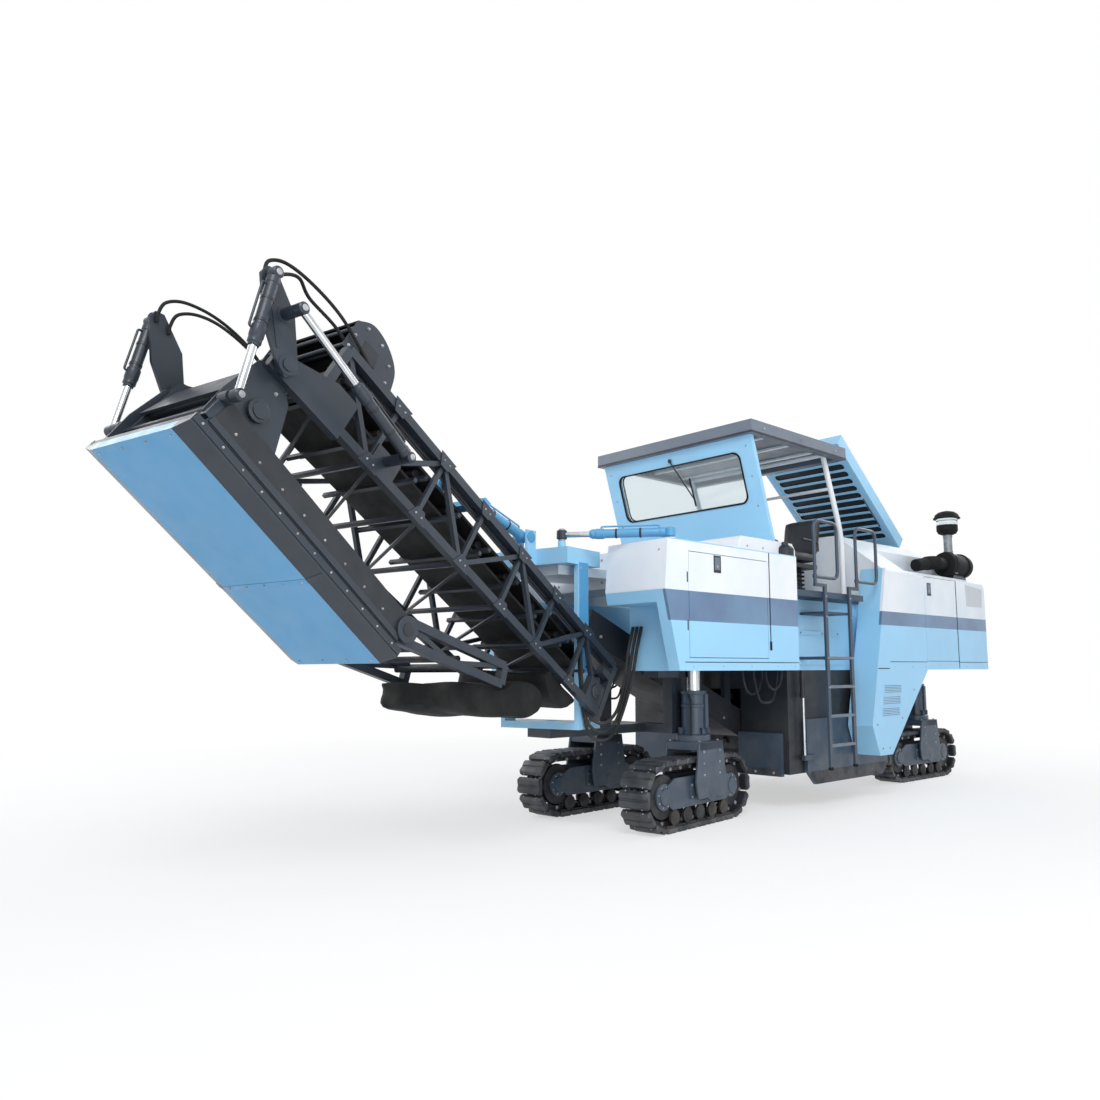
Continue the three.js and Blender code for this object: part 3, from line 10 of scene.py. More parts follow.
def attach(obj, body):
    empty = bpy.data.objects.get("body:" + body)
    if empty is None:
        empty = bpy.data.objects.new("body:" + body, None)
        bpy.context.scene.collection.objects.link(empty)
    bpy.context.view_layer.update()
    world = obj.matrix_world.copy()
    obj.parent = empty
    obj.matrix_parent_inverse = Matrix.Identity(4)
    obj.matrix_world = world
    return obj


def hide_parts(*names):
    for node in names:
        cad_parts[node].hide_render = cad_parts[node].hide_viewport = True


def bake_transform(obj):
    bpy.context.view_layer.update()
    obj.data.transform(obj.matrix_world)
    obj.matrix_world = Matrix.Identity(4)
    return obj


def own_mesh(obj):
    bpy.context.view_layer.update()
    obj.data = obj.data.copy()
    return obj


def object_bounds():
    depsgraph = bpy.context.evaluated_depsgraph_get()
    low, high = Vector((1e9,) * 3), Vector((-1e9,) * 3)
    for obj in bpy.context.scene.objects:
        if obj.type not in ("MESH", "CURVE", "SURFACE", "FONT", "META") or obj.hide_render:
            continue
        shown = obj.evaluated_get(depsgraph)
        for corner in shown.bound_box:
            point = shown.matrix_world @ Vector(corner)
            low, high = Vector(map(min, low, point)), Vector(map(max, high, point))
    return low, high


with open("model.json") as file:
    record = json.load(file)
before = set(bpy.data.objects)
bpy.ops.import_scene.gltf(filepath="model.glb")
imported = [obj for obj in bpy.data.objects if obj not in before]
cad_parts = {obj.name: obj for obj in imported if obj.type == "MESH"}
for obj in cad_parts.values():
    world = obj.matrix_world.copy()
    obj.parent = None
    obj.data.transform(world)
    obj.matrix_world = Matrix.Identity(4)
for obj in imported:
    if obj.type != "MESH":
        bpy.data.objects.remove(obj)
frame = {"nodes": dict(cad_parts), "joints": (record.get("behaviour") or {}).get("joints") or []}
CAD_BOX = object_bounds()
JOINTS = {joint["name"]: joint for joint in frame["joints"]}
SIDES = (("left", 1), ("right", -1))

# ---------------------------------------------------------------- sizes in metres, angles in degrees
SLEW_Y = -1.05
SLEW_ANGLE = 12.0
BASE_ANGLE = 33.0
FOLD_ANGLE = 173.6
LEVER_ANGLE = 40.4
HOOD_ANGLE = 38.5
# FOOT_PIN is (ahead of the slew axis, above ground), FOLD_PIN (along, square to the belt) from the foot pin
FOOT_PIN = (0.1, 1.2)
FOLD_PIN = (3.73, -0.133)
CONVEYOR_HALF = 0.5
CHORD = 0.06
COVER_CHAMFER = 0.12
BODY_HALF = 1.25
BODY_BOTTOM = 1.37
FRONT_TOP = 2.45
REAR_TOP = 2.49
CROWN_TOP = 2.90
PLATFORM_TOP = 2.15
TRACK_LENGTH = 1.70
TRACK_HEIGHT = 0.61
TRACK_WIDTH = 0.30
TRACK_SHOES = 24
LEG_BEHIND = 0.10
DRUM_CENTRE = (2.2, 0.8)
DRUM_RADIUS = 0.42
CHAMBER_LEFT = 0.90
CHAMBER_RIGHT = 1.19
CHAMBER_FRONT = 1.25
CHAMBER_LENGTH = 1.86
PLATE_GAP = 0.006
PLATE_THICK = 0.04
SEAT_X = 0.56
BELT_LEVEL = 0.30
TIP_LOW = 0.45
TIP_HIGH = 0.59
# (x, y, steering angle) of each lifting column
TRACKS = {
    "front_left": (0.65, 0.0, 6.9),
    "front_right": (-0.65, 0.0, 3.5),
    "rear_left": (0.48, 4.63, -2.0),
    "rear_right": (-0.48, 4.63, -2.0),
}


# ---------------------------------------------------------------- places
def turn(angle, axis):
    return Matrix.Rotation(math.radians(angle), 4, axis)


def shift(x, y, z):
    return Matrix.Translation((x, y, z))


SLEW_AXIS = Vector(JOINTS["conveyor_slew"]["pos_m"])
MACHINE = shift(SLEW_AXIS.x, SLEW_AXIS.y - SLEW_Y, 0)
YOKE = MACHINE @ shift(0, SLEW_Y, 0) @ turn(SLEW_ANGLE, "Z")
BASE = YOKE @ shift(0, -FOOT_PIN[0], FOOT_PIN[1]) @ turn(-BASE_ANGLE, "X")
TIP = BASE @ shift(0, -FOLD_PIN[0], FOLD_PIN[1]) @ turn(FOLD_ANGLE, "X")
LEVER = BASE @ shift(0, -FOLD_PIN[0], FOLD_PIN[1]) @ turn(-LEVER_ANGLE, "X")
HOOD = MACHINE @ shift(0, 4.30, CROWN_TOP + 0.012) @ turn(-HOOD_ANGLE, "X")


def track_place(unit):
    x, y, steer = TRACKS[unit]
    return MACHINE @ shift(x, y + LEG_BEHIND, 0) @ turn(steer, "Z")


def along(t, u, v):
    """A conveyor point: t across, u along, v square to the belt."""
    return Vector((t, -u, v))


def stand(name, data):
    """Puts an object with this data in the scene."""
    made = bpy.data.objects.new(name, data)
    bpy.context.scene.collection.objects.link(made)
    return made


# ---------------------------------------------------------------- camera
def look():
    camera = stand("camera", bpy.data.cameras.new("camera"))
    yaw, pitch, roll = math.radians(45.56), math.radians(7.34), math.radians(0.277)
    ahead = Vector((-math.sin(yaw) * math.cos(pitch), math.cos(yaw) * math.cos(pitch), math.sin(pitch)))
    right = ahead.cross(Vector((0, 0, 1))).normalized()
    up = right.cross(ahead)
    tilted_right = right * math.cos(roll) - up * math.sin(roll)
    tilted_up = up * math.cos(roll) + right * math.sin(roll)
    place = Matrix((tilted_right, tilted_up, -ahead)).transposed().to_4x4()
    place.translation = MACHINE @ Vector((6.063, -6.328, 1.369))
    camera.matrix_world = place
    camera.data.sensor_width = 36.0
    camera.data.lens = 29.319
    camera.data.shift_x = -0.0507
    camera.data.shift_y = 0.0053
    camera.data.clip_end = 200
    bpy.context.scene.camera = camera


look()


# ---------------------------------------------------------------- materials
def srgb(red, green, blue):
    def linear(value):
        value /= 255
        return value / 12.92 if value <= 0.04045 else ((value + 0.055) / 1.055) ** 2.4
    return (linear(red), linear(green), linear(blue), 1.0)


def shade(colour, factor):
    return (colour[0] * factor, colour[1] * factor, colour[2] * factor, 1.0)


LIGHT_BLUE = srgb(152, 207, 241)
WHITE = srgb(234, 238, 243)
SLATE = srgb(54, 71, 89)
LATTICE = srgb(36, 46, 58)
# the body's light blue darkened as painted shade, for the conveyor's blue parts
PAINTED_SHADE_BLUE = srgb(80, 156, 204)
STRIPE = srgb(88, 114, 148)
DARK = srgb(26, 32, 40)
RUBBER = srgb(14, 16, 18)
CHROME = srgb(205, 209, 213)
GREY = srgb(96, 108, 124)
DUST = srgb(168, 160, 148)


class Shader:
    """One material's node tree, built step by step."""

    def __init__(self, name, metallic=0.0):
        self.material = bpy.data.materials.new(name)
        self.material.use_nodes = True
        self.tree = self.material.node_tree
        self.surface = self.tree.nodes["Principled BSDF"]
        self.surface.inputs["Metallic"].default_value = metallic
        self.place = self.node("ShaderNodeTexCoord").outputs["Object"]

    def node(self, kind, **settings):
        made = self.tree.nodes.new(kind)
        for key, value in settings.items():
            setattr(made, key, value)
        return made

    def link(self, source, target):
        self.tree.links.new(source, target)

    def noise(self, scale, detail, stretch=(1, 1, 1)):
        mapping = self.node("ShaderNodeMapping")
        mapping.inputs["Scale"].default_value = stretch
        self.link(self.place, mapping.inputs["Vector"])
        noise = self.node("ShaderNodeTexNoise")
        noise.inputs["Scale"].default_value = scale
        noise.inputs["Detail"].default_value = detail
        self.link(mapping.outputs["Vector"], noise.inputs["Vector"])
        return noise.outputs["Fac"]

    def remap(self, value, low, high, to_low, to_high):
        remap = self.node("ShaderNodeMapRange")
        remap.inputs["From Min"].default_value = low
        remap.inputs["From Max"].default_value = high
        remap.inputs["To Min"].default_value = to_low
        remap.inputs["To Max"].default_value = to_high
        self.link(value, remap.inputs["Value"])
        return remap.outputs["Result"]

    def math(self, operation, first, second):
        node = self.node("ShaderNodeMath", operation=operation)
        for socket, value in zip(node.inputs, (first, second)):
            if isinstance(value, (int, float)):
                socket.default_value = value
            else:
                self.link(value, socket)
        return node.outputs["Value"]

    def mix(self, factor, first, second):
        node = self.node("ShaderNodeMix", data_type="RGBA")
        self.link(factor, node.inputs["Factor"])
        for socket, value in ((node.inputs["A"], first), (node.inputs["B"], second)):
            if isinstance(value, tuple):
                socket.default_value = value
            else:
                self.link(value, socket)
        return node.outputs["Result"]

    def node_mix(self, other):
        """Lays another shader over the surface; returns the socket that says how much of it shows."""
        blend = self.node("ShaderNodeMixShader")
        self.link(self.surface.outputs["BSDF"], blend.inputs[1])
        self.link(other.outputs[0], blend.inputs[2])
        self.link(blend.outputs["Shader"], self.tree.nodes["Material Output"].inputs["Surface"])
        return blend.inputs["Fac"]

    def axis(self, name):
        split = self.node("ShaderNodeSeparateXYZ")
        self.link(self.place, split.inputs["Vector"])
        return split.outputs[name]

    def across(self, place):
        """Distance from the middle plane of a frame, as it stands at rest."""
        row = place.inverted()[0]
        total = row[3]
        for name, share in zip("XYZ", row[:3]):
            total = self.math("ADD", total, self.math("MULTIPLY", self.axis(name), share))
        return self.math("ABSOLUTE", total, 0)

    def dust(self, amount, top=1.6):
        """More dust near the ground, in patches."""
        low = self.remap(self.axis("Z"), 0.0, top, amount, amount * 0.12)
        patches = self.remap(self.noise(5.0, 6.0), 0.42, 0.68, 0.15, 1.0)
        return self.math("MULTIPLY", low, patches)

    def patchy(self, scale, first, second, most=1.0):
        """Soft clouds of the second colour over the first."""
        return self.mix(self.remap(self.noise(scale, 5.0), 0.35, 0.7, 0, most), first, second)

    def cells(self, scale, randomness=1.0):
        """Distance from the middle of the nearest cell."""
        cells = self.node("ShaderNodeTexVoronoi")
        cells.inputs["Scale"].default_value = scale
        cells.inputs["Randomness"].default_value = randomness
        self.link(self.place, cells.inputs["Vector"])
        return cells.outputs["Distance"]

    def colour(self, value):
        if isinstance(value, tuple):
            self.surface.inputs["Base Color"].default_value = value
        else:
            self.link(value, self.surface.inputs["Base Color"])

    def roughness(self, low, high, scale=6.0):
        value = self.remap(self.noise(scale, 4.0), 0.3, 0.7, low, high)
        self.link(value, self.surface.inputs["Roughness"])

    def bump(self, height, strength, distance=0.002):
        bump = self.node("ShaderNodeBump")
        bump.inputs["Strength"].default_value = strength
        bump.inputs["Distance"].default_value = distance
        self.link(height, bump.inputs["Height"])
        self.link(bump.outputs["Normal"], self.surface.inputs["Normal"])

    def painted(self, tone, dust, rough, grain=(60, 0.05), coat=(0.25, 0.2)):
        """Dusty paint under a clear coat: lowest and highest roughness, scale and strength of the grain,
        weight and roughness of the coat."""
        self.colour(self.mix(self.dust(dust), tone, DUST))
        self.roughness(*rough)
        self.bump(self.noise(grain[0], 2.0), grain[1])
        self.surface.inputs["Coat Weight"].default_value = coat[0]
        self.surface.inputs["Coat Roughness"].default_value = coat[1]
        return self.material


def paint(name, colour, roughness=0.38, dust=0.14, metallic=0.0):
    s = Shader(name, metallic)
    cloudy = s.patchy(1.7, colour, shade(colour, 0.93))
    return s.painted(cloudy, dust, (roughness - 0.06, roughness + 0.14))


def livery(name, stripe_low, stripe_high, bare_front=False):
    """Light blue body paint with a slate stripe on the flanks and white above; a bare front has no white."""
    s = Shader(name)
    height = s.axis("Z")
    above = s.math("GREATER_THAN", height, stripe_high)
    below = s.math("LESS_THAN", height, stripe_low)
    flank = s.math("GREATER_THAN", s.across(MACHINE), BODY_HALF - 0.03)
    banded = s.mix(flank, LIGHT_BLUE, STRIPE)
    banded = s.mix(below, banded, LIGHT_BLUE)
    if bare_front:
        above = s.math("MULTIPLY", above, flank)
    banded = s.mix(above, banded, WHITE)
    grubby = s.patchy(1.4, banded, shade(LIGHT_BLUE, 0.8), 0.3)
    return s.painted(grubby, 0.1, (0.3, 0.46), (70, 0.04), (0.3, 0.15))


def cover_paint(name):
    """Blue sheet between dark chamfered edges, across the folded tip section; the blue is the body's light
    blue darkened as painted shade.
    """
    s = Shader(name)
    edge = s.math("GREATER_THAN", s.across(TIP), CONVEYOR_HALF + CHORD / 2 - COVER_CHAMFER)
    fresh = s.mix(edge, PAINTED_SHADE_BLUE, LATTICE)
    faded = s.mix(edge, shade(PAINTED_SHADE_BLUE, 0.93), LATTICE)
    return s.painted(s.patchy(1.7, fresh, faded), 0.14, (0.32, 0.52))


def worn_steel(name, colour, dust=0.5):
    s = Shader(name, 0.55)
    scuffed = s.mix(s.remap(s.noise(9, 8.0), 0.38, 0.66, 0, 1), shade(colour, 0.7), shade(colour, 1.25))
    rusty = s.mix(s.remap(s.noise(3.1, 6.0), 0.56, 0.74, 0, 0.4), scuffed, srgb(96, 74, 58))
    s.colour(s.mix(s.dust(dust, 0.9), rusty, DUST))
    s.roughness(0.42, 0.72)
    s.bump(s.noise(120, 6.0), 0.18)
    return s.material


def chrome(name):
    s = Shader(name, 1.0)
    s.colour(s.mix(s.remap(s.noise(14, 4.0, (1, 1, 0.1)), 0.4, 0.65, 0, 1), CHROME, shade(CHROME, 0.82)))
    s.roughness(0.1, 0.24, 22)
    return s.material


def rubber(name, colour=RUBBER, dust=0.05):
    s = Shader(name)
    s.colour(s.mix(s.dust(dust, 2.4), s.mix(s.noise(11, 6.0), colour, shade(colour, 1.5)), DUST))
    s.surface.inputs["Specular IOR Level"].default_value = 0.25
    s.roughness(0.62, 0.85)
    s.bump(s.noise(240, 4.0), 0.12)
    return s.material


def belt_cloth(name):
    """Rubber belt with a fine woven press mark."""
    s = Shader(name)
    s.colour(s.mix(s.noise(7, 6.0), shade(RUBBER, 0.9), shade(RUBBER, 1.7)))
    wave = s.node("ShaderNodeTexWave")
    wave.inputs["Scale"].default_value = 90
    wave.inputs["Distortion"].default_value = 0.6
    s.link(s.place, wave.inputs["Vector"])
    s.bump(wave.outputs["Fac"], 0.15)
    s.roughness(0.6, 0.8)
    return s.material


def glass(name):
    s = Shader(name)
    s.colour(srgb(225, 236, 240))
    s.surface.inputs["Transmission Weight"].default_value = 0.92
    s.surface.inputs["IOR"].default_value = 1.45
    s.roughness(0.02, 0.07, 3)
    return s.material


def lens(name, colour):
    s = Shader(name)
    s.colour(s.mix(s.noise(40, 2.0), colour, shade(colour, 0.8)))
    s.surface.inputs["Coat Weight"].default_value = 0.8
    s.roughness(0.1, 0.2, 30)
    return s.material


def tread_plate(name):
    """Slate deck with raised anti-slip studs."""
    s = Shader(name, 0.2)
    s.colour(s.mix(s.noise(6, 6.0), shade(SLATE, 0.9), shade(SLATE, 1.5)))
    s.bump(s.remap(s.cells(28), 0.1, 0.32, 1, 0), 0.5, 0.004)
    s.roughness(0.45, 0.7)
    return s.material


def mesh_grille(name, colour):
    """Fine pressed grille: pale wires, with the gaps between them coloured near black as painted shade behind
    the holes.
    """
    s = Shader(name, 0.3)
    wire = s.remap(s.cells(70, 0.0), 0.30, 0.42, 0.0, 1.0)
    # near-black gaps: painted shade seen through the holes
    s.colour(s.mix(wire, shade(DARK, 1.6), colour))
    s.bump(wire, 0.5)
    s.roughness(0.4, 0.6)
    return s.material


def vinyl(name):
    s = Shader(name)
    s.colour(s.mix(s.noise(5, 5.0), srgb(36, 38, 42), srgb(52, 54, 59)))
    s.bump(s.cells(260), 0.22)
    s.roughness(0.42, 0.58)
    return s.material


FINISH = {
    "blue": paint("light_blue_paint", LIGHT_BLUE),
    # conveyor blue parts: the light blue with painted shade
    "shaded_blue": paint("conveyor_blue_painted_shade", PAINTED_SHADE_BLUE),
    "cover": cover_paint("tip_cover_paint"),
    "white": paint("white_paint", WHITE, 0.36, 0.12),
    "slate": paint("slate_paint", SLATE, 0.46, 0.14, 0.15),
    "lattice": paint("lattice_paint", LATTICE, 0.5, 0.1, 0.12),
    "grey": paint("grey_paint", GREY, 0.45, 0.2),
    "dark": paint("dark_paint", DARK, 0.6, 0.08, 0.1),
    "front_livery": livery("front_body_paint", 1.78, 2.03),
    "rear_livery": livery("rear_body_paint", 1.85, 2.0),
    "fairing_livery": livery("fairing_paint", 1.85, 2.0, True),
    "shoe": worn_steel("track_shoe_steel", srgb(66, 71, 78), 0.22),
    "steel": worn_steel("machined_steel", srgb(150, 154, 158), 0.2),
    "cast": worn_steel("cast_iron", srgb(40, 44, 50), 0.18),
    "chrome": chrome("chrome_rod"),
    "rubber": rubber("black_rubber"),
    "hose": rubber("hose_rubber", srgb(24, 26, 29), 0.15),
    "belt": belt_cloth("belt_rubber"),
    "glass": glass("screen_glass"),
    "bowl": glass("clear_bowl"),
    "red_lens": lens("red_lens", srgb(176, 28, 24)),
    "amber_lens": lens("amber_lens", srgb(226, 138, 30)),
    "clear_lens": lens("clear_lens", srgb(226, 230, 232)),
    "deck": tread_plate("tread_plate"),
    "grille": mesh_grille("pressed_grille", srgb(196, 202, 208)),
    "vinyl": vinyl("seat_vinyl"),
    "bolt": worn_steel("zinc_bolt", srgb(172, 175, 178), 0.1),
}


def coat(node, finish):
    """Gives one CAD node its finish."""
    mesh = frame["nodes"][node].data
    if not mesh.materials:
        mesh.materials.append(None)
    for k in range(len(mesh.materials)):
        mesh.materials[k] = FINISH[finish]


# ---------------------------------------------------------------- mesh building
def circle(count, radius, first=0.0):
    """Points evenly round a circle, the first of them at an angle in degrees."""
    turns = [math.radians(first + 360 * k / count) for k in range(count)]
    return [(radius * math.cos(a), radius * math.sin(a)) for a in turns]


def oblong(y0, z0, y1, z1):
    """Corners of a rectangle, from two opposite ones."""
    return [(y0, z0), (y1, z0), (y1, z1), (y0, z1)]


class Shape:
    """Closed solids gathered into one piece; a tone is the name of a finish."""

    def __init__(self, place=MACHINE):
        self.place = place
        self.points = []
        self.faces = []
        self.tones = []

    def add(self, points, faces, tone):
        start = len(self.points)
        self.points += [self.place @ Vector(point) for point in points]
        self.faces += [[start + k for k in face] for face in faces]
        self.tones += [tone] * len(faces)

    def block(self, low, high, tone):
        points = [(x, y, z) for x in (low[0], high[0]) for y in (low[1], high[1]) for z in (low[2], high[2])]
        faces = [(0, 1, 3, 2), (4, 6, 7, 5), (0, 4, 5, 1), (2, 3, 7, 6), (0, 2, 6, 4), (1, 5, 7, 3)]
        self.add(points, faces, tone)

    def rings(self, rings, tone, closed=False):
        count = len(rings[0])
        points = [point for ring in rings for point in ring]
        faces = []
        for k in range(len(rings) if closed else len(rings) - 1):
            a = k * count
            b = ((k + 1) % len(rings)) * count
            faces += [(a + j, a + (j + 1) % count, b + (j + 1) % count, b + j) for j in range(count)]
        if not closed:
            faces.append(tuple(range(count))[::-1])
            faces.append(tuple(range(len(points) - count, len(points))))
        self.add(points, faces, tone)

    def turned(self, start, way, profile, tone, sides=28, hollow=False):
        """Solid of revolution from start along way; profile holds (distance, radius), looped when hollow."""
        start, axis = Vector(start), Vector(way).normalized()
        side = axis.orthogonal().normalized()
        other = axis.cross(side)
        rings = [[start + axis * distance + side * a + other * b for a, b in circle(sides, radius)]
                 for distance, radius in profile]
        self.rings(rings, tone, hollow)

    def rod(self, start, end, radius, tone, sides=24):
        run = Vector(end) - Vector(start)
        length = run.length
        edge = min(0.004, radius * 0.3, length * 0.3)
        profile = [(0, radius - edge), (edge, radius), (length - edge, radius), (length, radius - edge)]
        self.turned(start, run, profile, tone, sides)

    def prism(self, outline, x0, x1, tone, edge=0.0):
        """A (y, z) outline pushed between x0 and x1, with its rims drawn in by edge."""
        x0, x1 = sorted((x0, x1))
        centre_y = sum(p[0] for p in outline) / len(outline)
        centre_z = sum(p[1] for p in outline) / len(outline)

        def ring(x, inset):
            points = []
            for y, z in outline:
                away = Vector((y - centre_y, z - centre_z))
                pulled = away * (1 - inset / max(away.length, 1e-6))
                points.append((x, centre_y + pulled.x, centre_z + pulled.y))
            return points
        if edge:
            self.rings([ring(x0, edge), ring(x0 + edge, 0), ring(x1 - edge, 0), ring(x1, edge)], tone)
        else:
            self.rings([ring(x0, 0), ring(x1, 0)], tone)

    def slab(self, outline, low, high, tone):
        """An (x, y) outline pushed from z low to high."""
        self.rings([[(x, y, z) for x, y in outline] for z in (low, high)], tone)

    def hollow_slab(self, outer, inner, low, high, tone):
        """The wall between two (x, y) rings of as many points, from z low to high."""
        points = [(x, y, z) for z in (low, high) for ring in (outer, inner) for x, y in ring]
        c = len(outer)
        faces = []
        for j in range(c):
            n = (j + 1) % c
            faces += [(j, n, c + n, c + j), (2 * c + j, 3 * c + j, 3 * c + n, 2 * c + n),
                      (j, 2 * c + j, 2 * c + n, n), (c + j, c + n, 3 * c + n, 3 * c + j)]
        self.add(points, faces, tone)

    def bar(self, start, end, width, height, tone):
        """Square bar; height is measured as near to Z as the run allows."""
        start, end = Vector(start), Vector(end)
        axis = (end - start).normalized()
        guide = Vector((0, 0, 1)) if abs(axis.z) < 0.9 else Vector((0, 1, 0))
        across = axis.cross(guide).normalized() * width / 2
        up = across.cross(axis).normalized() * height / 2
        corners = [across + up, up - across, -across - up, across - up]
        self.rings([[start + c for c in corners], [end + c for c in corners]], tone)

    def tube(self, path, radius, tone, sides=10):
        points = [Vector(p) for p in path]
        rings = []
        side = (points[1] - points[0]).orthogonal().normalized()
        for k, point in enumerate(points):
            ahead = points[min(k + 1, len(points) - 1)] - points[max(k - 1, 0)]
            ahead.normalize()
            side = (side - ahead * side.dot(ahead)).normalized()
            other = ahead.cross(side)
            rings.append([point + side * a + other * b for a, b in circle(sides, radius)])
        self.rings(rings, tone)

    def bolts(self, places, normal, size):
        """Hexagon heads on washers."""
        for place in places:
            self.turned(place, normal, [(0, size * 0.95), (size * 0.2, size * 0.95)], "bolt", 14)
            head = [(size * 0.18, size * 0.72), (size * 0.75, size * 0.72), (size * 0.9, size * 0.55)]
            self.turned(place, normal, head, "bolt", 6)


def smooth_path(points, steps):
    """A round curve through the points."""
    points = [Vector(p) for p in points]
    padded = [points[0] * 2 - points[1]] + points + [points[-1] * 2 - points[-2]]
    path = []
    for k in range(1, len(padded) - 2):
        a, b, c, d = padded[k - 1:k + 3]
        for j in range(steps):
            t = j / steps
            path.append(0.5 * (
                2 * b + (c - a) * t + (2 * a - 5 * b + 4 * c - d) * t ** 2 + (3 * b - a - 3 * c + d) * t ** 3
            ))
    return path + [points[-1]]


def bent_path(points, bend, steps=5):
    """Straight runs joined by round corners."""
    points = [Vector(p) for p in points]
    path = [points[0]]
    for before, corner, after in zip(points, points[1:], points[2:]):
        start = corner + (before - corner).normalized() * bend
        end = corner + (after - corner).normalized() * bend
        for k in range(steps + 1):
            t = k / steps
            path.append(start.lerp(corner, t).lerp(corner.lerp(end, t), t))
    return path + [points[-1]]


def close_up(mesh, weld=0.0):
    """Turns the faces outward and shades them smooth between creases."""
    solid = bmesh.new()
    solid.from_mesh(mesh)
    if weld:
        bmesh.ops.remove_doubles(solid, verts=solid.verts, dist=weld)
    bmesh.ops.recalc_face_normals(solid, faces=solid.faces)
    solid.to_mesh(mesh)
    solid.free()
    mesh.polygons.foreach_set("use_smooth", [True] * len(mesh.polygons))
    mesh.set_sharp_from_angle(angle=math.radians(32))


def piece(shape, name, body, replaces=(), bevel=0.0, segments=2):
    """Makes one named object of a shape, on a body or (when None) on no body."""
    tones = list(dict.fromkeys(shape.tones))
    mesh = bpy.data.meshes.new(name)
    mesh.from_pydata(shape.points, [], shape.faces)
    for tone in tones:
        mesh.materials.append(FINISH[tone])
    mesh.polygons.foreach_set("material_index", [tones.index(tone) for tone in shape.tones])
    close_up(mesh)
    made = stand(name, mesh)
    if bevel:
        edges = made.modifiers.new("edges", "BEVEL")
        edges.width = bevel
        edges.segments = segments
        edges.limit_method = "ANGLE"
        edges.angle_limit = math.radians(35)
    if body:
        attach(made, body)
    if replaces:
        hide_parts(*replaces)
    return made


# ---------------------------------------------------------------- tracks
def shoe_spots():
    """Places of the shoes round the loop: (y, z, angle) of each pad's face."""
    radius = TRACK_HEIGHT / 2
    arc = radius - 0.008
    straight = TRACK_LENGTH - TRACK_HEIGHT
    chain = arc - 0.05
    perimeter = 2 * straight + 2 * math.pi * chain
    spots = []
    for k in range(TRACK_SHOES):
        d = perimeter * (k + 0.5) / TRACK_SHOES
        if d < straight:
            spots.append((d - straight / 2, TRACK_HEIGHT, 0.0))
            continue
        d -= straight
        if d < math.pi * chain:
            a = d / chain
            spots.append((straight / 2 + arc * math.sin(a), radius + arc * math.cos(a), -a))
            continue
        d -= math.pi * chain
        if d < straight:
            spots.append((straight / 2 - d, 0.0, -math.pi))
            continue
        a = (d - straight) / chain
        spots.append((-straight / 2 - arc * math.sin(a), radius - arc * math.cos(a), -math.pi - a))
    return spots


def track_loop(unit):
    shape = Shape()
    half = TRACK_WIDTH / 2
    pad = [
        (-0.074, -0.05), (0.074, -0.05), (0.074, -0.02), (0.057, 0.0), (0.012, 0.0), (0.006, -0.009),
        (-0.006, -0.009), (-0.012, 0.0), (-0.057, 0.0), (-0.074, -0.02),
    ]
    for y, z, angle in shoe_spots():
        shape.place = track_place(unit) @ shift(0, y - LEG_BEHIND, z) @ Matrix.Rotation(angle, 4, "X")
        shape.prism(pad, -half, half, "shoe", 0.012)
        shape.block((-half + 0.02, -0.066, -0.062), (half - 0.02, 0.066, -0.05), "cast")
        for x in (-0.055, 0.055):
            shape.block((x - 0.017, -0.086, -0.1), (x + 0.017, 0.06, -0.062), "cast")
            shape.rod((x - 0.03, 0.068, -0.083), (x + 0.03, 0.068, -0.083), 0.019, "steel", 10)
        shape.bolts([(x, y2, -0.021) for x in (-0.085, 0.085) for y2 in (-0.0715, 0.0715)], (0, 0, 1), 0.008)
    piece(shape, f"{unit}_track_shoes", unit + "_track", [f"{unit}_track"])


